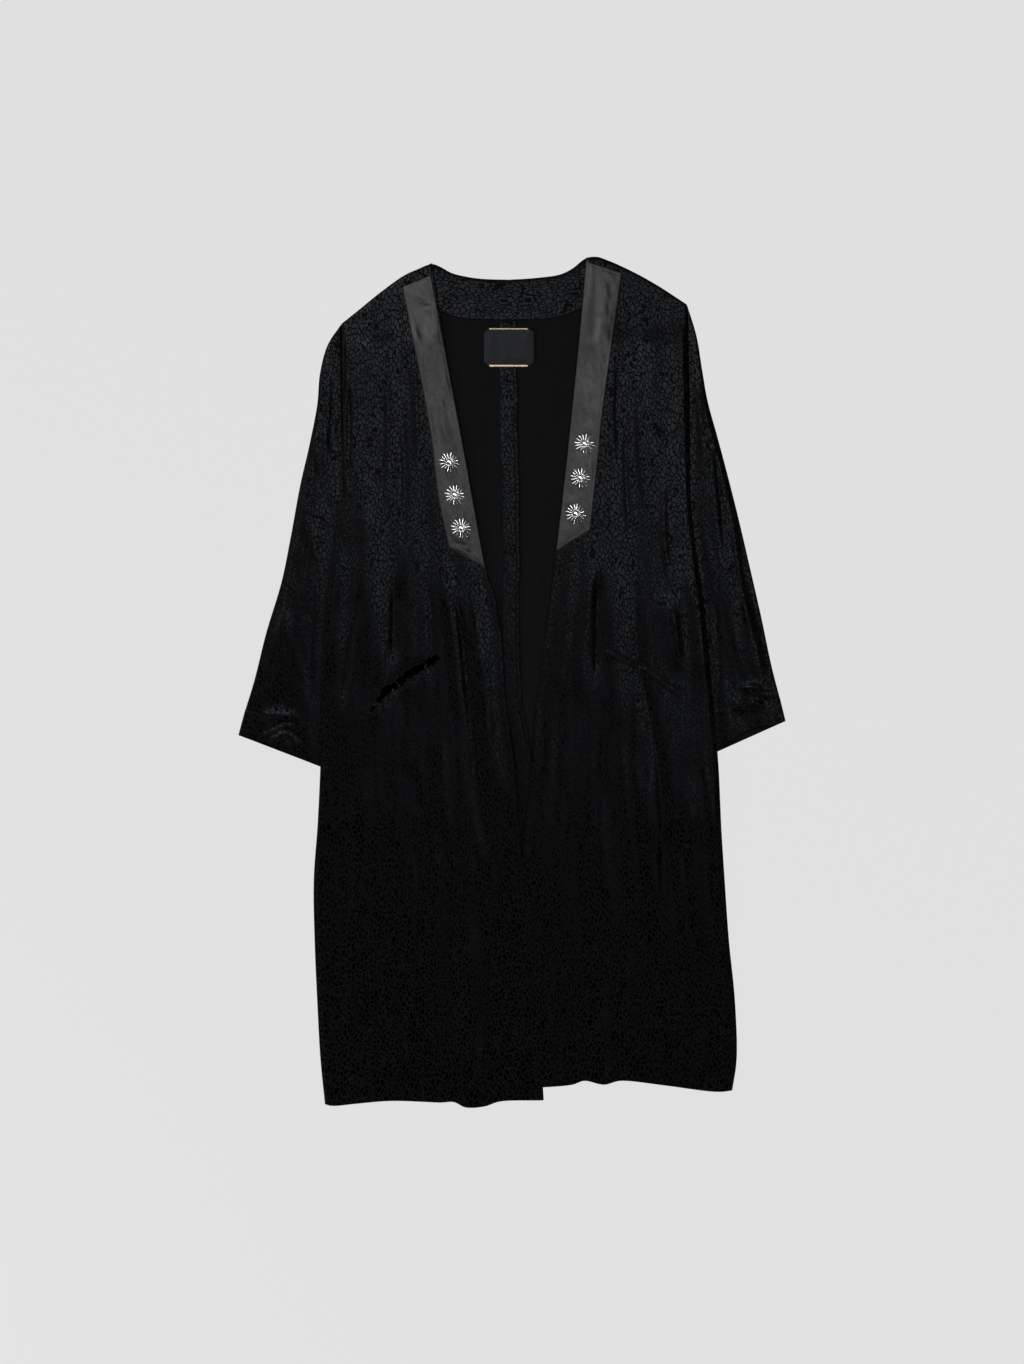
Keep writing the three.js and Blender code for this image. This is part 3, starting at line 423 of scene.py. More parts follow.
def front_mask(side, x, y):
    """1 where the cloth may rise, falling to 0 along a front's own edges and shoulder."""
    from_side = smoothstep(0.5, 6, np.abs(body(side + "_side", y) - x))
    crossed = body("left_edge", y) - body("right_edge", y)
    covered = np.maximum(0, crossed + 16) if side == "left" else 0
    from_edge = smoothstep(0, 1, (np.abs(body(side + "_edge", y) - x) - covered - 3) / 17)
    return from_side * from_edge * (1 - smoothstep(395, 440, y))


def overlap_lift(x, y):
    """The right front lies on the left one below the crossing of their edges."""
    past = x - body("left_edge", y)
    return (CLOTH + LAY_GAP) * (1 - smoothstep(4, 34, past)) * (1 - smoothstep(-190, -100, y))


def soften(height, turn=0.7):
    """Height as it is above turn, levelling out smoothly towards -DEEPEST below it."""
    room = turn + DEEPEST
    return np.where(height > turn, height, turn - room * np.tanh((turn - height) / room))


def front_top(side, x, y):
    """Upper face of a front, without the roll of its edges."""
    base = sleeve_lift(x, y, FRONT_BRIDGE) + CLOTH + LAY_GAP
    base = base + (TRIM + SEAM_GAP) * np.maximum(tape_mask(x, y), facing_mask(x, y))
    mask = front_mask(side, x, y)
    calm = 1 - CALM_SHARE * (smoothstep(-160, -60, y) - smoothstep(120, 200, y))
    folds = REST_HEIGHT + FOLD_SHARE * calm * fold_height(FOLDS[side], x, y)
    fine = CREASE_SHARE * fold_height(CREASES[side], x, y)
    deeper = STREAK_HEIGHT * (1 + LOWER_STREAKS * (1 - smoothstep(-220, 20, y)))
    fine = fine + deeper * streaks(x, y, STREAK_SEED[side])
    lifted = soften((folds + fine) * mask) * mask
    if side == "left":
        mouth = [(7, -POCKET_DIP, 0, WELT_LEFT["line"])]
        lifted = lifted + fold_height(mouth, x, y)
    else:
        lifted = lifted + overlap_lift(x, y)
    return base + CLOTH + lifted


# Meshes


def mesh_object(name, vertices, faces, materials, face_materials=None):
    """A smooth mesh from points in millimetres, linked to the scene."""
    mesh = bpy.data.meshes.new(name)
    mesh.from_pydata((np.asarray(vertices, float) * MM).tolist(), [], faces)
    for material in materials:
        mesh.materials.append(material)
    if face_materials is not None:
        mesh.polygons.foreach_set("material_index", face_materials)
    mesh.polygons.foreach_set("use_smooth", [True] * len(mesh.polygons))
    mesh.update()
    piece = bpy.data.objects.new(name, mesh)
    bpy.context.scene.collection.objects.link(piece)
    return piece


def spread(count, margins):
    """Shares from 0 to 1, evenly spaced, with extra rows close to both ends."""
    even = np.linspace(0, 1, count)
    inner = even[(even > margins[-1] * 1.3) & (even < 1 - margins[-1] * 1.3)]
    margins = np.array(margins)
    return np.concatenate([[0], margins, inner, 1 - margins[::-1], [1]])


def four_sided(low, high, start, end, u, v):
    """Plan points inside four edges; low and high run along +X, start and end along +Y."""
    lower, upper = low(u)[None], high(u)[None]
    left, right = start(v)[:, None], end(v)[:, None]
    across, up = u[None, :, None], v[:, None, None]
    bottom = lower[:, :1] * (1 - across) + lower[:, -1:] * across
    top = upper[:, :1] * (1 - across) + upper[:, -1:] * across
    flat = bottom * (1 - up) + top * up
    return left * (1 - across) + right * across + lower * (1 - up) + upper * up - flat


def shell(name, plan, top, bottom, materials):
    """Closed thin cloth over a grid of plan points, with a rounded rim."""
    rows, columns = plan.shape[:2]
    upper = np.concatenate([plan, top[..., None]], axis=-1).reshape(-1, 3)
    lower = np.concatenate([plan, bottom[..., None]], axis=-1).reshape(-1, 3)
    index = np.arange(rows * columns).reshape(rows, columns)
    rim = np.concatenate([index[0, :-1], index[:-1, -1], index[-1, :0:-1], index[:0:-1, 0]])
    ahead, behind = np.roll(rim, -1), np.roll(rim, 1)
    along = upper[ahead, :2] - upper[behind, :2]
    outward = np.stack([along[:, 1], -along[:, 0]], axis=-1)
    outward /= np.linalg.norm(outward, axis=1)[:, None]
    middle = (upper[rim] + lower[rim]) / 2
    middle[:, :2] += outward * (upper[rim, 2:] - lower[rim, 2:]) / 2
    count = rows * columns
    ring = 2 * count + np.arange(len(rim))
    next_ring = np.roll(ring, -1)
    corner = index[:-1, :-1].ravel()
    quads = np.stack([corner, corner + 1, corner + columns + 1, corner + columns], axis=-1)
    faces = [
        quads,
        quads[:, ::-1] + count,
        np.stack([ring, next_ring, ahead, rim], axis=-1),
        np.stack([rim + count, ahead + count, next_ring, ring], axis=-1),
    ]
    second = len(materials) > 1
    looks = np.concatenate([np.full(len(f), int(second and i == 1)) for i, f in enumerate(faces)])
    vertices = np.vstack([upper, lower, middle])
    return mesh_object(name, vertices, np.vstack(faces).tolist(), materials, looks)


def tube(name, outer, inner, materials, turned):
    """Closed tube wall between an outer and an inner skin, each rings by places by 3."""
    rings, count = outer.shape[:2]
    at = np.arange(rings * count).reshape(rings, count)
    ahead = np.roll(at, -1, axis=1)
    inside = rings * count
    skin = np.stack([at[:-1], at[1:], ahead[1:], ahead[:-1]], axis=-1).reshape(-1, 4)
    first = np.stack([at[0], ahead[0], ahead[0] + inside, at[0] + inside], axis=-1)
    last = np.stack([at[-1], at[-1] + inside, ahead[-1] + inside, ahead[-1]], axis=-1)
    faces = [skin, skin[:, ::-1] + inside, first, last]
    looks = np.concatenate([np.full(len(f), int(i == 1)) for i, f in enumerate(faces)])
    faces = np.vstack(faces)
    if turned:
        faces = faces[:, ::-1]
    vertices = np.vstack([outer.reshape(-1, 3), inner.reshape(-1, 3)])
    return mesh_object(name, vertices, faces.tolist(), materials, looks)


def roll(distance, radius):
    """Drop of a rolled edge, from 1 on the edge to 0 a radius inside it."""
    left = np.clip(1 - distance / radius, 0, 1)
    return 1 - np.sqrt(1 - left * left)


def rod_mesh(name, rods, radius, material, sides=6):
    """Joined short threads, each a capsule from one point to another."""
    rods = np.array(rods, float)
    start, end = rods[:, 0], rods[:, 1]
    direction = end - start
    direction /= np.linalg.norm(direction, axis=1)[:, None]
    side = np.cross(direction, [0, 0, 1])
    side /= np.linalg.norm(side, axis=1)[:, None]
    up = np.cross(side, direction)
    stations = [(0, 0.35, -0.6), (0, 1, 0), (0.5, 1.15, 0), (1, 1, 0), (1, 0.35, 0.6)]
    angles = np.arange(sides) * 2 * math.pi / sides
    circle = np.cos(angles)[None, :, None] * side[:, None] + np.sin(angles)[None, :, None] * up[:, None]
    rings = []
    for share, size, ahead in stations:
        centre = start + (end - start) * share + direction * ahead * radius
        rings.append(centre[:, None] + circle * size * radius)
    vertices = np.stack(rings, axis=1)
    count, places = len(rods), len(stations) * sides
    base = np.arange(count)[:, None, None] * places
    ring = np.arange(len(stations) - 1)[None, :, None] * sides
    i = np.arange(sides)[None, None, :]
    j = (i + 1) % sides
    low = base + ring
    quads = np.stack([low + i, low + j, low + sides + j, low + sides + i], axis=-1)
    caps_start = (base[:, 0] + np.arange(sides)[None, ::-1]).tolist()
    caps_end = (base[:, 0] + places - sides + np.arange(sides)[None]).tolist()
    faces = quads.reshape(-1, 4).tolist() + caps_start + caps_end
    return mesh_object(name, vertices.reshape(-1, 3), faces, [material])


def stitch_line(points, top, length=2.4, gap=0.9, sink=0.1):
    """Threads along a line of plan points, lying on the height that top gives."""
    points = np.asarray(points, float)
    reach = np.concatenate([[0], np.cumsum(np.linalg.norm(np.diff(points, axis=0), axis=1))])
    starts = np.arange(gap, reach[-1] - length, length + gap)

    def at(where):
        x, y = (np.interp(where, reach, points[:, k]) for k in (0, 1))
        return np.stack([x, y, top(x, y) - sink], axis=-1)

    return list(zip(at(starts), at(starts + length), strict=True))


def finish_piece(piece, nodes):
    """Rides the piece on the one body and hides the solids that it stands for."""
    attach(piece, "root")
    if nodes:
        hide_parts(*nodes)
    return piece


# Materials


class Look:
    """A material under construction: makes and joins nodes in few words."""

    def __init__(self, name):
        self.material = bpy.data.materials.new(name)
        self.material.use_nodes = True
        self.tree = self.material.node_tree
        self.shader = self.tree.nodes["Principled BSDF"]

    def node(self, kind, settings=None, **inputs):
        made = self.tree.nodes.new("ShaderNode" + kind)
        for key, value in (settings or {}).items():
            setattr(made, key, value)
        for key, value in inputs.items():
            self.put(made.inputs[int(key[1:]) if key[0] == "i" and key[1:].isdigit() else key], value)
        return made

    def put(self, socket, value):
        if isinstance(value, bpy.types.NodeSocket):
            self.tree.links.new(value, socket)
        else:
            socket.default_value = value

    def set(self, **values):
        for key, value in values.items():
            self.put(self.shader.inputs[key.replace("_", " ")], value)

    def math(self, operation, a, b=0.0, c=0.0):
        return self.node("Math", {"operation": operation}, i0=a, i1=b, i2=c).outputs[0]

    def step(self, value, low, high):
        """0 below low and 1 above high, smooth between; falls instead where low is above high."""
        settings = {"interpolation_type": "SMOOTHSTEP"}
        made = self.node("MapRange", settings, Value=value)
        made.inputs["From Min"].default_value = min(low, high)
        made.inputs["From Max"].default_value = max(low, high)
        made.inputs["To Min"].default_value = 0.0 if low < high else 1.0
        made.inputs["To Max"].default_value = 1.0 if low < high else 0.0
        return made.outputs[0]

    def blend(self, share, a, b):
        """Mix of two colours."""
        made = self.node("Mix", {"data_type": "RGBA"})
        self.put(made.inputs[0], share)
        self.put(made.inputs[6], a)
        self.put(made.inputs[7], b)
        return made.outputs[2]

    def between(self, share, a, b):
        """Mix of two numbers."""
        made = self.node("Mix", {"data_type": "FLOAT"})
        self.put(made.inputs[0], share)
        self.put(made.inputs[2], a)
        self.put(made.inputs[3], b)
        return made.outputs[0]

    def place(self, scale=1.0, turn=0.0, stretch=(1, 1, 1), offset=(0, 0, 0)):
        """Object coordinates in units of scale millimetres, turned about Z in degrees."""
        coordinates = self.node("TexCoord").outputs["Object"]
        mapping = self.node("Mapping", {"vector_type": "POINT"}, Vector=coordinates)
        mapping.inputs["Rotation"].default_value = (0, 0, math.radians(turn))
        mapping.inputs["Scale"].default_value = [1 / (MM * scale * s) for s in stretch]
        mapping.inputs["Location"].default_value = offset
        return mapping.outputs[0]

    def noise(self, vector, scale=1.0, detail=2.0, roughness=0.5):
        return self.node("TexNoise", Vector=vector, Scale=scale, Detail=detail, Roughness=roughness)

    def wave(self, vector, direction, distortion=0.0):
        """Even bands, two units of the vector from one to the next."""
        settings = {"wave_type": "BANDS", "bands_direction": direction}
        return self.node("TexWave", settings, Vector=vector, Scale=0.5, Distortion=distortion).outputs["Fac"]

    def vector(self, operation, a, b):
        return self.node("VectorMath", {"operation": operation}, i0=a, i1=b).outputs[0]

    def drifted(self, place):
        """Place moved a little by noise, so that cells lose their straight edges."""
        drift = self.noise(place, 1 / 2.0, 1.0).outputs["Color"]
        return self.vector("ADD", place, drift)

    def bump(self, height, distance, strength=1.0, normal=None):
        made = self.node("Bump", Height=height, Distance=distance * MM, Strength=strength)
        if normal is not None:
            self.put(made.inputs["Normal"], normal)
        return made.outputs[0]


def grey(value, tint=(1, 1, 1)):
    """A colour of one value, tinted."""
    return (value * tint[0], value * tint[1], value * tint[2], 1)


COOL = (0.93, 1.0, 1.12)

# Leopard figure: cell sizes in millimetres, drift of the cells, their squeeze and turn, radius of a ring
CELLS = {"small": 4.1, "rosette": 8.8, "drift": 8.0, "squeeze": 0.54, "turn": 0.58, "ring": 0.31}

# Darkest and palest shade of the two faces of the jacquard, and roughness of its satin
GROUND_SHADES = (0.0049, 0.0070)
SATIN_SHADES = (0.0001, 0.0004)
SATIN_ROUGHNESS = (0.17, 0.24)


def weave_height(look, turn, thread=0.55):
    """Fine crossing threads, with a slight unevenness."""
    place = look.place(thread, turn)
    return look.math("MULTIPLY", look.wave(place, "X", 0.6), look.wave(place, "Y", 0.6))


def leopard(look, turn, offset):
    """Leopard figure, 1 in blobs and broken rings and 0 on the ground; and a random share for each cell.

    The cells are drawn tall, and their lattice is turned so that its rows don't show.
    """
    place = look.place(1, turn, offset=offset)
    drift = look.noise(place, 1 / 14, 1.0).outputs["Color"]
    shift = look.vector("SUBTRACT", drift, (0.5, 0.5, 0.5))
    scaled = look.node("VectorMath", {"operation": "SCALE"}, i0=shift, Scale=CELLS["drift"]).outputs[0]
    flat = look.vector("MULTIPLY", look.vector("ADD", place, scaled), (1.0, CELLS["squeeze"], 0))
    tall = look.node("VectorRotate", {"rotation_type": "Z_AXIS"}, Vector=flat, Angle=CELLS["turn"]).outputs[0]
    ragged = look.noise(place, 1 / 3.6, 1.0).outputs["Fac"]
    wobble = look.math("MULTIPLY", look.math("SUBTRACT", ragged, 0.5), 0.14)

    seams = {"voronoi_dimensions": "2D", "feature": "DISTANCE_TO_EDGE"}
    nearest = {"voronoi_dimensions": "2D", "feature": "F1"}
    small = {"Vector": tall, "Scale": 1 / CELLS["small"], "Randomness": 1.0}
    borders = look.node("TexVoronoi", seams, **small).outputs["Distance"]
    spot = look.node("TexVoronoi", nearest, **small)
    apart = look.step(look.math("ADD", borders, wobble), 0.08, 0.14)
    from_middle = look.math("ADD", spot.outputs["Distance"], wobble)
    round_off = look.step(from_middle, 0.92, 0.80)
    cell = look.node("SeparateColor", Color=spot.outputs["Color"])
    chance = cell.outputs[1]
    hollow = look.math("MULTIPLY", look.step(from_middle, 0.24, 0.16), look.step(chance, 0.62, 0.64))
    blobs = look.math("MULTIPLY", look.math("MULTIPLY", apart, round_off), look.math("SUBTRACT", 1.0, hollow))

    rosette = look.node("TexVoronoi", nearest, Vector=tall, Scale=1 / CELLS["rosette"], Randomness=0.95)
    away = look.math("ADD", rosette.outputs["Distance"], look.math("MULTIPLY", wobble, 0.7))
    off_ring = look.math("ABSOLUTE", look.math("SUBTRACT", away, CELLS["ring"]))
    ring = look.step(off_ring, 0.13, 0.09)
    gaps = look.step(look.noise(place, 1 / 4.5, 0.0).outputs["Fac"], 0.38, 0.44)
    ring = look.math("MULTIPLY", ring, gaps)
    inside = look.step(away, 0.53, 0.50)
    pick = look.node("SeparateColor", Color=rosette.outputs["Color"]).outputs[0]
    chosen = look.math("MULTIPLY", inside, look.step(pick, 0.68, 0.70))
    return look.between(chosen, blobs, ring), cell.outputs[2]


def jacquard(name, turn=0.0, offset=(0, 0, 0), dull=0.0):
    """Satin figure on a matt ground, in the same black yarn."""
    look = Look(name)
    figure, share = leopard(look, turn, offset)
    patches = look.noise(look.place(60), 1.0, 3.0).outputs["Fac"]
    ground, satin = (
        look.blend(patches, *(grey(shade, COOL) for shade in pair)) for pair in (GROUND_SHADES, SATIN_SHADES)
    )
    fine = look.noise(look.place(0.8, turn, (1, 3, 1)), 1.0, 1.0).outputs["Fac"]
    smooth_cell = look.between(share, *(value + dull for value in SATIN_ROUGHNESS))
    rough_satin = look.between(fine, smooth_cell, look.math("ADD", smooth_cell, 0.04))
    look.set(Base_Color=look.blend(figure, ground, satin))
    look.set(Roughness=look.between(figure, 1.0, rough_satin))
    threads = look.bump(weave_height(look, turn), 0.05, 0.5)
    look.set(Normal=look.bump(figure, 0.12, 0.5, threads))
    look.set(Specular_IOR_Level=0.08)
    return look.material


def plain_inside(name):
    """Reverse of the cloth: matt, with faint streaks along the warp."""
    look = Look(name)
    warp = look.step(look.noise(look.place(5, 0, (1, 16, 1)), 1.0, 3.0, 0.6).outputs["Fac"], 0.30, 0.72)
    look.set(Base_Color=look.blend(warp, grey(0.0052, COOL), grey(0.0104, COOL)))
    look.set(Roughness=look.between(warp, 0.80, 0.88))
    look.set(Normal=look.bump(weave_height(look, 0), 0.06, 0.6))
    look.set(Specular_IOR_Level=0.08)
    return look.material


def leather(name):
    """Smooth black leather: pebble grain, soft creases, patches worn paler and smoother."""
    look = Look(name)
    place = look.place(1)
    pebbles = look.node(
        "TexVoronoi", {"feature": "DISTANCE_TO_EDGE"}, Vector=look.drifted(place), Scale=1 / 1.1
    ).outputs["Distance"]
    grain = look.step(pebbles, 0.0, 0.25)
    broad = look.noise(look.place(26, 12, (1, 2.2, 1)), 1.0, 3.0).outputs["Fac"]
    creases = look.noise(look.place(7, -14, (1, 3.0, 1)), 1.0, 4.0, 0.6).outputs["Fac"]
    mottle = look.noise(look.place(3.6, 8, (1, 1.5, 1)), 1.0, 3.0, 0.6).outputs["Fac"]
    worn = look.step(look.math("MULTIPLY_ADD", broad, 0.5, look.math("MULTIPLY", mottle, 0.5)), 0.34, 0.66)
    look.set(Base_Color=look.blend(worn, grey(0.020), grey(0.040)))
    look.set(Roughness=look.between(worn, 0.48, 0.34))
    soft = look.bump(mottle, 0.35, 0.6, look.bump(creases, 0.8, 0.5))
    look.set(Normal=look.bump(grain, 0.05, 0.45, soft))
    look.set(Specular_IOR_Level=0.28, Specular_Tint=(1.0, 0.96, 0.86, 1))
    return look.material


def label_satin(name):
    """Blank black label: close ribs of satin."""
    look = Look(name)
    ribs = look.wave(look.place(0.6), "Y", 0.3)
    cloud = look.noise(look.place(9), 1.0, 3.0).outputs["Fac"]
    look.set(Base_Color=look.blend(cloud, grey(0.010), grey(0.015)))
    look.set(Roughness=look.between(ribs, 0.48, 0.6))
    look.set(Normal=look.bump(ribs, 0.06, 0.5))
    look.set(Specular_IOR_Level=0.15)
    return look.material


def gold_thread(name):
    """Twisted thread with a dull metal shine."""
    look = Look(name)
    twist = look.wave(look.place(0.7), "DIAGONAL")
    look.set(Base_Color=look.blend(twist, (0.78, 0.56, 0.32, 1), (0.95, 0.76, 0.50, 1)))
    look.set(Roughness=look.between(twist, 0.34, 0.5), Metallic=0.55)
    look.set(Normal=look.bump(twist, 0.08, 0.6))
    return look.material


def stud_metal(name):
    """Polished pale metal with a trace of warmth and fine scuffs."""
    look = Look(name)
    scuffs = look.noise(look.place(1.6), 1.0, 4.0, 0.6).outputs["Fac"]
    look.set(Base_Color=look.blend(scuffs, (0.95, 0.94, 0.90, 1), (0.86, 0.85, 0.80, 1)))
    look.set(Roughness=look.between(scuffs, 0.20, 0.26), Metallic=1.0)
    look.set(Normal=look.bump(scuffs, 0.02, 0.15))
    return look.material


def thread_look(name, value):
    """Plied sewing thread of one grey."""
    look = Look(name)
    ply = look.wave(look.place(0.4), "DIAGONAL")
    look.set(Base_Color=look.blend(ply, grey(value * 0.6), grey(value)))
    look.set(Roughness=look.between(ply, 0.45, 0.6))
    look.set(Normal=look.bump(ply, 0.05, 0.6))
    return look.material


def painted_pocket_shade(name):
    """Painted shade deep in a pocket mouth: near-black and without gloss, darker than the cloth itself."""
    look = Look(name)
    warp = look.noise(look.place(2, 0, (1, 8, 1)), 1.0, 2.0).outputs["Fac"]
    # Painted shade: near-black colour and no gloss at all
    look.set(Base_Color=look.blend(warp, grey(0.0003), grey(0.0012)))
    look.set(Roughness=look.between(warp, 0.85, 0.95), Specular_IOR_Level=0.0)
    return look.material


FLOOR_SHADE = 0.03
FLOOR_GLOW = 0.743


def floor_look(name):
    """Pale even paper."""
    look = Look(name)
    tooth = look.noise(look.place(3), 1.0, 2.0).outputs["Fac"]
    look.set(Base_Color=look.blend(tooth, grey(FLOOR_SHADE), grey(FLOOR_SHADE * 1.004)))
    look.set(Roughness=1.0, Specular_IOR_Level=0.0)
    look.set(Emission_Color=grey(1.0), Emission_Strength=FLOOR_GLOW)
    return look.material


CLOTH_BODY = jacquard("jacquard_body")
CLOTH_SLEEVE = {
    "left": jacquard("jacquard_sleeve_left", -16, (3.1, 1.7, 0)),
    "right": jacquard("jacquard_sleeve_right", 16, (6.4, 2.2, 0)),
}
CLOTH_TRIM = jacquard("jacquard_trim", 4, (11.3, 8.1, 0), 0.03)
CLOTH_FACING = jacquard("jacquard_facing", 90, (2.3, 5.2, 0), 0.03)
INSIDE = plain_inside("plain_inside")
LAPEL_LEATHER = leather("black_leather")
BLACK_THREAD = thread_look("black_thread", 0.022)
LEATHER_THREAD = thread_look("leather_thread", 0.075)
GOLD = gold_thread("gold_thread")
METAL = stud_metal("stud_metal")
# Near-black material that paints the shade inside the left pocket's mouth
POCKET_PAINTED_SHADE = painted_pocket_shade("pocket_painted_shade")

# Body panels

EDGE_ROWS = [0.0016, 0.004, 0.008, 0.014]
FRONT_COUNT = {"across": 126, "along": 212}
BACK_COUNT = {"across": 56, "along": 170}
SIDE_ROLL = 3.8
SHOULDER_ROLL = 3.0
FREE_ROLL = 1.8
HEM_ROLL = 1.6
UNDER_GAP = 0.1
FRONT = {
    "left": {"hem": HEM_FRONT_LEFT, "shoulder": SHOULDER_LEFT, "sides": ("left_side", "left_edge")},
    "right": {
        "hem": HEM_FRONT_RIGHT, "shoulder": SHOULDER_RIGHT[::-1], "sides": ("right_edge", "right_side"),
    },
}


def stations(column):
    """Points of one body edge."""
    return list(zip(BODY[column], BODY["y"], strict=True))


def body_edge(hem_corner, column, top):
    """Curve of a body edge from the hem to the shoulder."""
    return edge([hem_corner, *stations(column), top])


def edge_distances(plan):
    """Distance of each grid point from the panel's low, high, start and end edges."""
    low = np.linalg.norm(plan - plan[:1], axis=-1)
    high = np.linalg.norm(plan - plan[-1:], axis=-1)
    start = np.linalg.norm(plan - plan[:, :1], axis=-1)
    end = np.linalg.norm(plan - plan[:, -1:], axis=-1)
    return low, high, start, end


def make_front(side):
    """Front panel, rolled over at its free edge, side, shoulder and hem."""
    u = spread(FRONT_COUNT["across"], EDGE_ROWS)
    v = spread(FRONT_COUNT["along"], [0.0004, 0.0012, 0.0025])
    hem, shoulder = FRONT[side]["hem"], FRONT[side]["shoulder"]
    ends = zip((0, -1), FRONT[side]["sides"], strict=True)
    sides = [body_edge(hem[i], column, shoulder[i]) for i, column in ends]
    plan = four_sided(edge(hem), edge(shoulder), *sides, u, v)
    x, y = plan[..., 0], plan[..., 1]
    top = front_top(side, x, y)
    low, high, start, end = edge_distances(plan)
    seam, free = (start, end) if side == "left" else (end, start)
    rest = back_top(x, y) + UNDER_GAP
    top = top - (top - rest - THINNEST) * roll(seam, SIDE_ROLL)
    top = top - (top - rest - THINNEST) * roll(high, SHOULDER_ROLL) * smoothstep(0, 8, free)
    top = top - 0.7 * roll(free, FREE_ROLL) - 0.6 * roll(low, HEM_ROLL)
    bottom = np.maximum(top - SHELL, np.minimum(rest, top - THINNEST))
    return shell("front_" + side + "_cloth", plan, top, bottom, [CLOTH_BODY, INSIDE])


def make_back(side):
    """Back panel, seen from its inside."""
    u = spread(BACK_COUNT["across"], [0.003, 0.01])
    v = spread(BACK_COUNT["along"], [0.0008, 0.002])
    centre = [(x + (-SEAM_GAP if side == "left" else SEAM_GAP) / 2, y) for x, y in
              zip(CENTRE_BACK["x"], CENTRE_BACK["y"], strict=True)]
    if side == "left":
        hem, top_edge = HEM_BACK_LEFT, [*SHOULDER_LEFT[:-1], *NECK_LEFT]
        sides = body_edge(hem[0], "left_side", SHOULDER_LEFT[0]), edge(centre)
    else:
        hem, top_edge = HEM_BACK_RIGHT, [*NECK_RIGHT[:-1], *SHOULDER_RIGHT[::-1]]
        sides = edge(centre), body_edge(hem[-1], "right_side", SHOULDER_RIGHT[0])
    plan = four_sided(edge(hem), edge(top_edge), *sides, u, v)
    x, y = plan[..., 0], plan[..., 1]
    top = back_top(x, y)
    bottom = sleeve_lift(x, y, 0)
    low, high, start, end = edge_distances(plan)
    seam = start if side == "left" else end
    top = top - 0.3 * roll(seam, 1.5) - 0.25 * roll(low, 1.5) - 0.3 * roll(high, 2.0)
    return shell("back_" + side + "_cloth", plan, top, bottom, [INSIDE, CLOTH_BODY])


# Sleeves and cuffs

SLEEVE_COUNT = {"rings": 150, "across": 62, "turn": 5}
CUFF_SPAN = 18
FOLD_ROUND = 2.2
SLEEVE_LENGTH = 480
CUFF_LENGTH = 50
CUFF_TUCK = 1.2
HEM_ROUND = {"drop": 0.35, "radius": 1.8}
SLEEVE_TOP_ROUND = {"drop": 1.9, "radius": 6.5}


def round_upper(skin, distance, drop, radius):
    """Rolls the upper cloth of a tube's skin down where distance from an edge is small."""
    skin[..., 2] -= drop * roll(distance, radius) * (skin[..., 2] > SLEEVE_STACK / 2)


def sleeve_top(side, x, y, from_fold):
    """Height of the upper sleeve cloth: flat where it is tucked under the body and along its folds."""
    seam = body(side + "_side", y)
    outside = seam - x if side == "left" else x - seam
    mask = smoothstep(3, 16, outside) * smoothstep(0, 14, from_fold)
    panel = "sleeve_" + side
    folds = np.maximum(SLEEVE_PUFF + SLEEVE_FOLD_SHARE * fold_height(FOLDS[panel], x, y), 0)
    fine = CREASE_SHARE * fold_height(CREASES[panel], x, y)
    fine = fine + STREAK_HEIGHT * streaks(x + 0.3 * y, y, STREAK_SEED[panel])
    return SLEEVE_STACK + np.maximum(folds + fine, 0) * mask


def sleeve_skin(side, outer, inner, mouth, inset):
    """Rings of a flattened tube: lower cloth from fold to fold, round the fold, and the upper cloth back."""
    width = np.linalg.norm(inner - outer, axis=1)[:, None]
    direction = ((inner - outer) / width)[:, None]
    across = np.linspace(0, 1, SLEEVE_COUNT["across"])[None]
    end = FOLD_ROUND + inset * 0.3
    flat = end + (width - 2 * end) * across
    turn = np.linspace(0, math.pi, SLEEVE_COUNT["turn"] + 2)[1:-1][None]
    reach = end - inset - (end - inset) * (1 - np.sin(turn))

    def points(s, z, draw):
        plan = outer[:, None] + direction * s[..., None]
        plan[..., 1] += draw
        return np.concatenate([plan, z[..., None]], axis=-1)

    def top_at(s):
        plan = outer[:, None] + direction * s[..., None]
        return sleeve_top(side, plan[..., 0], plan[..., 1], np.minimum(s, width - s)) - inset

    def drawn(s):
        return mouth * np.sin(math.pi * np.minimum(1, s / width * 1.4)) ** 2

    lower = points(flat, np.full_like(flat, inset), np.zeros_like(flat))
    middle_top = top_at(np.full_like(width, 0) + end)
    half = (middle_top - inset) / 2
    far = points(width - end + reach, inset + half * (1 - np.cos(turn)), 0 * reach * width)
    upper_s = flat[:, ::-1]
    upper = points(upper_s, top_at(upper_s), drawn(upper_s))
    near = points(end - reach + 0 * width, inset + half * (1 + np.cos(turn)), 0 * reach * width)
    return np.concatenate([lower, far, upper, near], axis=1)


def make_sleeve(side):
    """Sleeve as a flattened tube."""
    sections = SLEEVE[side]
    along = spread(SLEEVE_COUNT["rings"], [0.002, 0.005])
    outer, inner = edge(sections["outer"])(along), edge(sections["inner"])(along)
    tuck = np.array([sections["tuck"], 0])
    outer[0], inner[0] = outer[0] + tuck, inner[0] + tuck
    mouth = np.zeros((len(along), 1))
    skins = [sleeve_skin(side, outer, inner, mouth, inset) for inset in (0, SHELL)]
    hem = np.minimum(along, 1 - along)[:, None] * SLEEVE_LENGTH
    round_upper(skins[0], hem, **HEM_ROUND)
    for skin in skins:
        round_upper(skin, along[:, None] * SLEEVE_LENGTH, **SLEEVE_TOP_ROUND)
    return tube("sleeve_" + side + "_cloth", *skins, [CLOTH_SLEEVE[side], INSIDE], side == "left")


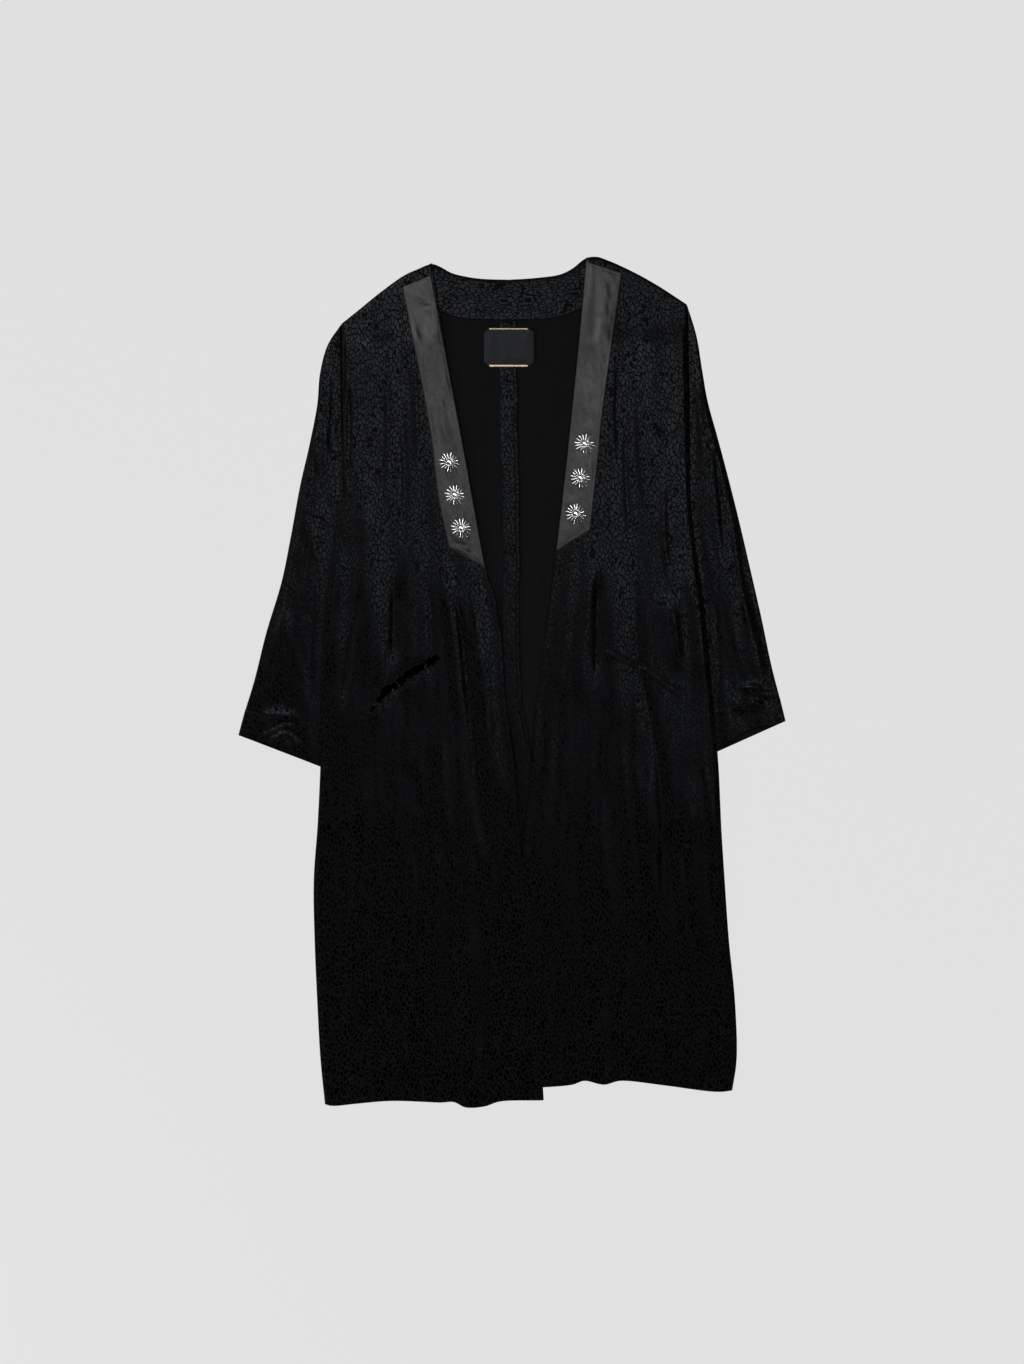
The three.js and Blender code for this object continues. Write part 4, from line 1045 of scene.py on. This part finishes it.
def make_cuff(side):
    """Cuff as a short tube that goes on from the sleeve."""
    sections = SLEEVE[side]
    rim = sections["rim"]
    along = spread(CUFF_SPAN, [0.02, 0.05])[:, None]
    drop = np.array([0, SEAM_GAP])
    tuck = np.array([0, CUFF_TUCK])
    outer = (np.array(sections["outer"][-1]) - drop + tuck) * (1 - along) + np.array(rim["outer"]) * along
    inner = (np.array(sections["inner"][-1]) - drop + tuck) * (1 - along) + np.array(rim["inner"]) * along
    skins = [sleeve_skin(side, outer, inner, sections["mouth"] * along**2, inset) for inset in (0, SHELL)]
    hem = np.minimum(along, 1 - along) * CUFF_LENGTH
    round_upper(skins[0], hem, **HEM_ROUND)
    return tube("cuff_" + side + "_cloth", *skins, [CLOTH_SLEEVE[side], INSIDE], side == "left")


# What is laid on the panels

LAPEL_COUNT = {"across": 34, "along": 190}
LAPEL_DIP = 1.6
STITCH_INSET = 3.4
STITCH_ROWS_APART = 2.2
FACING_STITCHES = (2.2, 6.0)


def between(start, end):
    """Straight line between two points, as a function of the share along it."""
    start, end = np.array(start, float), np.array(end, float)
    return lambda along: start + (end - start) * np.asarray(along)[..., None]


# Soft folds of the leather that run down each lapel: width, rise, lean and path
LAPEL_FOLDS = {
    "left": [
        (8.5, -1.2, 0, [(-131, 490), (-116, 448), (-105, 410), (-98, 372), (-91, 330), (-80, 250)]),
        (6.5, -0.9, 0, [(-100, 400), (-95, 350), (-87, 300), (-78, 245)]),
        (1.5, -0.7, 0, [(-110, 440), (-98, 442), (-78, 446)]),
        (4.6, 0.9, -0.2, [(-100, 490), (-89, 436), (-80, 384), (-73, 340), (-66, 290)]),
        (5.0, 0.7, 0, [(-134, 490), (-114, 400), (-105, 340), (-98, 290), (-91, 240)]),
        (6.0, -0.7, 0, [(-84, 300), (-74, 250), (-66, 205)]),
        (5.0, 0.6, 0, [(-60, 262), (-50, 205), (-42, 168)]),
        (3.6, -1.1, 0, [(-72, 166), (-58, 160), (-42, 158)]),
        (3.2, 0.8, 0, [(-70, 160), (-56, 151), (-44, 150)]),
    ],
    "right": [
        (4.4, -0.7, 0.2, [(98.8, 492), (98, 450), (96, 420), (92, 380), (88, 330)]),
        (5.0, 0.6, 0, [(107, 486), (107, 440), (102, 390), (96, 330)]),
        (3.4, -0.8, 0, [(113, 482), (116, 455), (112, 425)]),
        (4.6, 0.5, 0, [(90, 480), (85, 430), (80, 380), (76, 320)]),
        (4.8, -0.5, 0, [(84, 330), (80, 300), (76, 262)]),
        (5.0, 0.5, 0, [(94, 270), (88, 220), (82, 180)]),
        (5.2, -0.5, 0, [(70, 236), (66, 205), (62, 176)]),
    ],
}


def lapel_top(side, x, y, from_edge):
    """Upper face of a lapel: padded between its stitched edges, with soft folds along it."""
    groove = np.exp(-(((from_edge - STITCH_INSET) / 0.7) ** 2))
    swell = smoothstep(0, 9, from_edge)
    inside = smoothstep(1.0, 6.5, from_edge)
    lean, seed = LAPEL[side]["lean"], LAPEL[side]["seed"]
    across, along = x + lean * y, y - lean * x
    long_folds = value_noise(across / 7, along / 44, seed)
    crumple = value_noise((across + along * 0.3) / 6, along / 11, seed + 2)
    soft = value_noise(x / 24, y / 52, seed + 4)
    relief = fold_height(LAPEL_FOLDS[side], x, y) + 0.32 * long_folds + 0.28 * crumple + 0.3 * soft
    relief = np.where(relief < 0, LAPEL_DIP * np.tanh(relief / LAPEL_DIP), relief)
    return front_top(side, x, y) + LEATHER - 0.12 * groove + 0.35 * swell + inside * relief


def make_lapel(side):
    """Leather band with its edge stitching."""
    edges = LAPEL[side]
    start, end = edge(edges["start"]), edge(edges["end"])
    u = spread(LAPEL_COUNT["across"], [0.012, 0.035, 0.06, 0.09, 0.12])
    v = spread(LAPEL_COUNT["along"], [0.0015, 0.004, 0.008, 0.0105, 0.014])
    low = between(edges["start"][0], edges["end"][0])
    high = between(edges["start"][-1], edges["end"][-1])
    plan = four_sided(low, high, start, end, u, v)
    x, y = plan[..., 0], plan[..., 1]
    from_edge = np.min(edge_distances(plan), axis=0)
    top = lapel_top(side, x, y, from_edge) - 0.9 * roll(from_edge, 1.5)
    bottom = np.minimum(front_top(side, x, y) + 0.12, top - 0.35)
    piece = shell("lapel_" + side + "_leather", plan, top, bottom, [LAPEL_LEATHER])
    stitches = []

    def on_lapel(px, py):
        return lapel_top(side, px, py, np.full_like(px, STITCH_INSET)) + 0.12

    share = STITCH_INSET / LAPEL_WIDTH
    inside = STITCH_INSET / LAPEL_LENGTH
    run = np.linspace(inside, 1 - inside, 120)
    for column in (share, 1 - share):
        line = start(run) * (1 - column) + end(run) * column
        stitches += stitch_line(line, on_lapel)
    for rows in (inside, inside + STITCH_ROWS_APART / LAPEL_LENGTH):
        across = np.linspace(share, 1 - share, 12)[:, None]
        line = start([rows]) * (1 - across) + end([rows]) * across
        stitches += stitch_line(line, on_lapel)
    threads = rod_mesh("lapel_" + side + "_stitches", stitches, THREAD / 2, LEATHER_THREAD)
    return piece, threads


def make_facing():
    """Band inside the back neck with two rows of stitching."""
    u = spread(90, [0.002, 0.006])
    v = spread(22, [0.02, 0.05])
    low, high = edge(FACING_LOWER), edge(FACING_UPPER)
    start = between(FACING_LOWER[0], FACING_UPPER[0])
    end = between(FACING_LOWER[-1], FACING_UPPER[-1])
    plan = four_sided(low, high, start, end, u, v)
    x, y = plan[..., 0], plan[..., 1]
    from_low, from_high = edge_distances(plan)[:2]

    def top_at(px, py, lower, upper):
        grooves = sum(np.exp(-(((lower - row) / 0.7) ** 2)) for row in FACING_STITCHES)
        ripple = 0.25 * value_noise(px / 8, py / 30, 70) * smoothstep(0, 10, upper)
        return back_top(px, py) + 0.15 + TRIM_SHELL + ripple - 0.2 * grooves

    top = top_at(x, y, from_low, from_high) - 0.35 * roll(from_low, 1.2) - 0.4 * roll(from_high, 2.5)
    piece = shell("neck_facing_cloth", plan, top, back_top(x, y) + 0.1, [CLOTH_FACING])
    stitches = []
    run = np.linspace(0.05, 0.95, 90)
    for offset in FACING_STITCHES:
        line = low(run) + [0, offset]
        stitches += stitch_line(line, lambda px, py: back_top(px, py) + 0.15 + TRIM_SHELL, sink=0.0)
    threads = rod_mesh("neck_facing_stitches", stitches, THREAD / 2, BLACK_THREAD)
    return piece, threads


def make_tape():
    """Patterned tape with a rolled ridge along its right edge."""
    half = TAPE["width"] / 2
    at_left, at_ridge = np.array([0, 0.4, 1.2, 3]), np.array([6.2, 5.4, 4.8, 4.0, 3.2, 2.3, 1.5, 0.8, 0.3, 0])
    across = np.concatenate([-half + at_left, [-4, 0, 3], half - at_ridge])
    y = spread(150, [0.0006, 0.002]) * (TAPE["top"] - TAPE["bottom"]) + TAPE["bottom"]
    centre = np.interp(y, CENTRE_BACK["y"], CENTRE_BACK["x"])
    soft = 0.8 * value_noise(y / 34, y * 0, 80)
    plan = np.stack(np.broadcast_arrays((centre + soft)[:, None] + across[None], y[:, None]), axis=-1)
    x_all, y_all = plan[..., 0], plan[..., 1]
    from_right = half - across
    ridge = np.sqrt(np.clip(1 - ((from_right - TAPE["ridge"] / 2) / (TAPE["ridge"] / 2)) ** 2, 0, 1))
    rope = 1 + 0.16 * np.sin((y_all + x_all * 1.4) * 2 * math.pi / 4.4)
    profile = 0.55 * ridge[None] * rope - 0.35 * np.exp(-(((from_right[None] - 5.4) / 0.6) ** 2))
    flat = np.clip((half + across) / 1.2, 0, 1)
    top = back_top(x_all, y_all) + 0.15 + TRIM_SHELL * (0.5 + 0.5 * flat[None]) + profile
    bottom = np.minimum(back_top(x_all, y_all) + 0.08, top - 0.15)
    return shell("back_seam_tape_cloth", plan, top, bottom, [CLOTH_TRIM])


def strip_plan(line, width, count, rows):
    """Plan points of a strip along a bent line, rows running up across it; its width may vary."""
    along = np.linspace(0, 1, count)
    middle = edge(line)(along)
    run = np.gradient(middle, axis=0)
    run /= np.linalg.norm(run, axis=1)[:, None]
    normal = np.stack([-run[:, 1], run[:, 0]], axis=-1)
    return middle[None] + normal[None] * ((rows[:, None] - 0.5) * np.broadcast_to(width, count))[..., None]


def make_pocket_left():
    """Gaping pocket: rolled lower lip, a mouth darkened by painted shade, and the front's edge above it."""
    rows = np.array([0, 0.03, 0.07, 0.1, 0.13, 0.17, 0.3, 0.5, 0.7, 0.83, 0.9, 0.95, 0.98, 1.0])
    lip = np.array([0.12, 0.45, 0.7, 0.75, 0.5, 0.15, 0.08, 0.05, 0.05, 0.08, 0.15, 0.4, 0.45, 0.1])
    along = np.linspace(0, 1, 130)
    ragged = 1.4 * value_noise(along * 17, along * 0, 93) + 1.1 * value_noise(along * 41, along * 0, 94)
    gape = 0.35 + 0.65 * smoothstep(0.1, 0.35, along) * (1 - 0.45 * smoothstep(0.8, 1, along))
    width = WELT_LEFT["width"] * gape * (1 + 0.16 * ragged)
    plan = strip_plan(WELT_LEFT["line"], width, len(along), rows)
    bend = value_noise(along * 9, along * 0, 95)
    plan[..., 1] += 2.0 * bend * np.sin(math.pi * along)
    x, y = plan[..., 0], plan[..., 1]
    open_share = smoothstep(0.05, 0.3, along) * smoothstep(0, 0.04, 1 - along)
    crumple = 1 + 0.35 * value_noise(x / 5, y / 5, 90) * (rows[:, None] < 0.5)
    closed = 0.55 * np.sin(math.pi * rows)[:, None] + 0.15
    profile = lip[:, None] * crumple * open_share[None] + closed * (1 - open_share[None])
    floor_height = front_top("left", x, y)
    top = floor_height + 0.12 + profile
    bottom = np.minimum(floor_height + 0.1, top - 0.1)
    piece = shell("pocket_left_welt", plan, top, bottom, [CLOTH_TRIM, POCKET_PAINTED_SHADE])
    mesh = piece.data
    columns = plan.shape[1] - 1
    # Patches inside the mouth get the near-black painted shade instead of the cloth, more of them where the
    # mouth gapes
    patches = value_noise(x / 3.4, y / 3.4, 97) + 0.5 * value_noise(x / 1.7, y / 1.7, 98)
    painted_shade_faces = patches > 0.2 - 0.95 * smoothstep(0.02, 0.3, along)
    for row in range(3, 10):
        for column in range(columns):
            if painted_shade_faces[row, column]:
                mesh.polygons[row * columns + column].material_index = 1
    return piece


def make_pocket_right():
    """Nearly closed pocket: a flat welt with a fine slit along its upper edge."""
    rows = np.array([0, 0.05, 0.12, 0.3, 0.5, 0.68, 0.74, 0.78, 0.82, 0.88, 0.95, 1.0])
    rise = np.array([0.08, 0.25, 0.35, 0.42, 0.45, 0.4, 0.08, 0.05, 0.08, 0.3, 0.28, 0.08])
    plan = strip_plan(WELT_RIGHT["line"], WELT_RIGHT["width"], 70, rows)
    x, y = plan[..., 0], plan[..., 1]
    along = np.linspace(0, 1, plan.shape[1])
    ends = smoothstep(0, 0.05, along) * smoothstep(0, 0.05, 1 - along)
    crumple = 1 + 0.3 * value_noise(x / 6, y / 6, 91)
    floor_height = front_top("right", x, y)
    top = floor_height + 0.12 + rise[:, None] * crumple * (0.3 + 0.7 * ends[None])
    return shell("pocket_right_welt", plan, top, np.minimum(floor_height + 0.08, top - 0.08), [CLOTH_TRIM])


def make_label():
    """Blank label with rounded corners, a little puckered where it is sewn."""
    half_width, half_height, corner = LABEL["width"] / 2, LABEL["height"] / 2, LABEL["corner"]
    u = np.linspace(-1, 1, 61)[None]
    v = np.linspace(-1, 1, 45)[:, None]
    x, y = np.broadcast_arrays(u * half_width, v * half_height)
    x, y = x.copy(), y.copy()
    reach_x = half_width - np.clip(np.abs(y) - (half_height - corner), 0, None) ** 2 / corner / 1.6
    reach_y = half_height - np.clip(np.abs(x) - (half_width - corner), 0, None) ** 2 / corner / 1.6
    x *= reach_x / half_width
    y *= reach_y / half_height
    from_edge = np.minimum(half_width - np.abs(x), half_height - np.abs(y))
    pucker = 0.5 * value_noise((x + 40) / 9, (y + 40) / 9, 75) * smoothstep(1, 8, from_edge)
    swell = 0.7 * smoothstep(0, 10, from_edge)
    waves = 0.18 * np.sin(x * 2 * math.pi / 7) * np.exp(-(((half_height - np.abs(y)) / 4) ** 2))
    px, py = x + LABEL["x"], y + LABEL["y"]
    base = back_top(px, py) + 2 * TRIM_SHELL + 0.2
    top = base + 0.5 + pucker + swell + waves - 0.3 * roll(from_edge, 1.2)
    piece = shell("label_cloth", np.stack([px, py], axis=-1), top, base, [label_satin("label_satin")])
    bars = []
    for name, sign, thick in (("label_bar_top", 1, 1.2), ("label_bar_bottom", -1, 2.0)):
        line = np.linspace(-LABEL["bar"] / 2, LABEL["bar"] / 2, 24)
        rows = np.linspace(-thick / 2, thick / 2, 5)
        edge_y = rows[:, None] + LABEL["y"] + sign * (half_height + 0.2)
        bx, by = np.broadcast_arrays(line[None] + LABEL["x"] - 0.5, edge_y)
        bar_top = back_top(bx, by) + 2 * TRIM_SHELL + 0.9 + 0.25 * np.cos(rows / thick * math.pi)[:, None]
        plan = np.stack([bx, by], axis=-1)
        bars.append(shell(name, plan, bar_top, bar_top - 0.6, [GOLD]))
    return piece, bars


# A rod's thickness along its length, and the knob's profile as radius and height
ROD_STAGES = [(0.0, 0.38), (0.3, 0.62), (0.6, 0.86), (0.88, 1.1), (0.97, 0.95), (1.0, 0.5)]
KNOB = [(3.0, -0.1), (3.2, 0.5), (2.4, 1.0), (1.5, 1.4), (1.5, 3.2), (2.3, 3.6), (2.6, 3.95), (2.4, 4.3),
        (1.6, 4.6), (0.7, 4.75)]


def ring_faces(start, levels, sides):
    """Faces of a closed stack of rings whose first vertex has the number start."""
    faces = []
    for level in range(levels - 1):
        for i in range(sides):
            a, b = start + level * sides + i, start + level * sides + (i + 1) % sides
            faces.append([a, b, b + sides, a + sides])
    faces.append([start + i for i in range(sides - 1, -1, -1)])
    faces.append([start + (levels - 1) * sides + i for i in range(sides)])
    return faces


def make_stud(name, x, y):
    """Sunburst: slender blunt rods that spring from a domed knob and droop at their tips."""
    side = "left" if x < 0 else "right"
    around = np.linspace(0, 2 * math.pi, 13)
    seat = []
    for reach, less in ((6.5, 0), (12.0, 0.2)):
        ring = x + reach * np.cos(around), y + reach * np.sin(around)
        seat.append(lapel_top(side, *ring, np.full(13, 12.0)).max() - less)
    base = float(max(seat))
    rng = np.random.default_rng(SEED + int(abs(x) * 10))
    sides = 8
    vertices, faces = [], []
    for ray in range(STUD["rays"]):
        turn = 2 * math.pi * (ray + 0.5) / STUD["rays"] + rng.uniform(-0.05, 0.05)
        tip = STUD["radius"] * (1.0 if ray % 2 else 0.92)
        start = len(vertices)
        for share, size in ROD_STAGES:
            reach = STUD["root"] + (tip - STUD["root"]) * share
            height = base + 0.95 + STUD["fall"] * (tip - reach)
            for i in range(sides):
                around = 2 * math.pi * i / sides
                across = STUD["rod"] * size * math.cos(around)
                up = STUD["rod"] * size * STUD["flat"] * math.sin(around)
                out = reach + up * STUD["fall"]
                vertices.append((x + out * math.cos(turn) - across * math.sin(turn),
                                 y + out * math.sin(turn) + across * math.cos(turn), height + up))
        faces += ring_faces(start, len(ROD_STAGES), sides)
    sides = 24
    start = len(vertices)
    for radius, height in KNOB:
        for i in range(sides):
            around = 2 * math.pi * i / sides
            vertices.append((x + radius * math.cos(around), y + radius * math.sin(around), base + height))
    faces += ring_faces(start, len(KNOB), sides)
    return mesh_object(name + "_metal", vertices, faces, [METAL])


def declare(piece, node):
    """Finishes a piece that is cut from cloth or leather."""
    return finish_piece(piece, [node])


def build():
    """Makes every piece of the garment."""
    for side in SIDES:
        declare(make_back(side), "back_" + side)
    for side in SIDES:
        declare(make_sleeve(side), "sleeve_" + side)
        declare(make_cuff(side), "cuff_" + side)
    for side in SIDES:
        declare(make_front(side), "front_" + side)
        band, threads = make_lapel(side)
        declare(band, "lapel_" + side)
        finish_piece(threads, [])
    facing, threads = make_facing()
    declare(facing, "neck_facing")
    finish_piece(threads, [])
    declare(make_tape(), "back_seam_tape")
    declare(make_pocket_left(), "pocket_welt_left")
    declare(make_pocket_right(), "pocket_welt_right")
    label, bars = make_label()
    declare(label, "label")
    for bar in bars:
        finish_piece(bar, [])
    for name, x, y in STUDS:
        finish_piece(make_stud(name, x, y), [name])


# Studio

# The photograph's height in pixels, and the millimetres that one of them covers
PHOTO_HEIGHT = 1364
PHOTO_SCALE = 1.1765
LENS, SENSOR = 85, 36
FLOOR_SIZE = 40000
FLOOR_DROP = 0.05
WORLD_STRENGTH = 0.015
WHITE, COOL_LIGHT = (1, 1, 1), (0.93, 0.98, 1.09)

# Suns: name, direction, strength, angle and whether it is seen only as a gleam
SUNS = [
    ("key", (-0.75, 0.45, 0.55), 0.15, 40, False),
    ("fill", (0.5, 0.45, 0.75), 0.22, 60, False),
    ("glint", (-0.72, 0.55, 0.62), 1.5, 46, True),
    ("spark", (0.75, -0.62, 0.9), 0.7, 12, True),
]

# Softboxes: name, place, aim, size, power, tint and whether it is seen only as a gleam
SOFTBOXES = [
    ("side_softbox", (-1.3, -0.9, 0.45), (0, -0.2, 0), (0.5, 0.3), 13.0, WHITE, False),
    ("hem_softbox", (0.25, -1.25, 0.5), (0.1, 1, 0.3), (1.2, 0.4), 3.8, WHITE, False),
    ("neck_softbox", (0.18, 0.60, 2.0), (0, 0.3, 0), (2.1, 0.5), 20.0, COOL_LIGHT, True),
    ("left_softbox", (-0.95, 1.2, 1.9), (0, 0.25, 0), (0.7, 0.7), 13.0, COOL_LIGHT, True),
]


def make_camera():
    """Straight above, with the photograph's field of view."""
    data = bpy.data.cameras.new("camera")
    data.lens = LENS
    data.sensor_fit = "VERTICAL"
    data.sensor_height = SENSOR
    data.sensor_width = SENSOR
    camera = bpy.data.objects.new("camera", data)
    camera.location = (0, 0, PHOTO_HEIGHT * PHOTO_SCALE * MM * LENS / SENSOR)
    bpy.context.scene.collection.objects.link(camera)
    bpy.context.scene.camera = camera


def make_sun(name, direction, strength, angle, glossy):
    """Broad even light, either without a gleam or seen only as one."""
    data = bpy.data.lights.new(name, "SUN")
    data.energy = strength
    data.angle = math.radians(angle)
    lamp = bpy.data.objects.new(name, data)
    lamp.rotation_mode = "QUATERNION"
    lamp.rotation_quaternion = Vector(direction).to_track_quat("Z", "Y")
    lamp.visible_glossy = glossy
    lamp.visible_diffuse = not glossy
    bpy.context.scene.collection.objects.link(lamp)


def make_softbox(name, place, aim, size, power, tint, glossy):
    """Soft panel, seen only as a gleam on satin and metal or else only as even light."""
    data = bpy.data.lights.new(name, "AREA")
    data.shape = "RECTANGLE"
    data.size, data.size_y = size
    data.energy = power
    data.color = tint
    lamp = bpy.data.objects.new(name, data)
    lamp.location = place
    lamp.rotation_mode = "QUATERNION"
    lamp.rotation_quaternion = (Vector(place) - Vector(aim)).to_track_quat("Z", "Y")
    lamp.visible_diffuse = not glossy
    lamp.visible_glossy = glossy
    lamp.visible_camera = False
    bpy.context.scene.collection.objects.link(lamp)


def make_world(strength):
    """Faint even light from all round."""
    world = bpy.data.worlds.new("studio")
    world.use_nodes = True
    background = world.node_tree.nodes["Background"]
    background.inputs["Color"].default_value = (1, 1, 1, 1)
    background.inputs["Strength"].default_value = strength
    bpy.context.scene.world = world


def make_floor():
    """Pale ground just below the garment."""
    corners = np.array([(-1, -1, 0), (1, -1, 0), (1, 1, 0), (-1, 1, 0)]) * FLOOR_SIZE - [0, 0, FLOOR_DROP]
    floor = mesh_object("floor", corners, [[0, 1, 2, 3]], [floor_look("pale_floor")])


def make_studio():
    """Camera, floor and lights, without a tone curve."""
    make_camera()
    make_floor()
    make_world(WORLD_STRENGTH)
    for sun in SUNS:
        make_sun(*sun)
    for softbox in SOFTBOXES:
        make_softbox(*softbox)
    settings = bpy.context.scene.view_settings
    settings.view_transform = "Standard"
    settings.look = "None"


build()
make_studio()
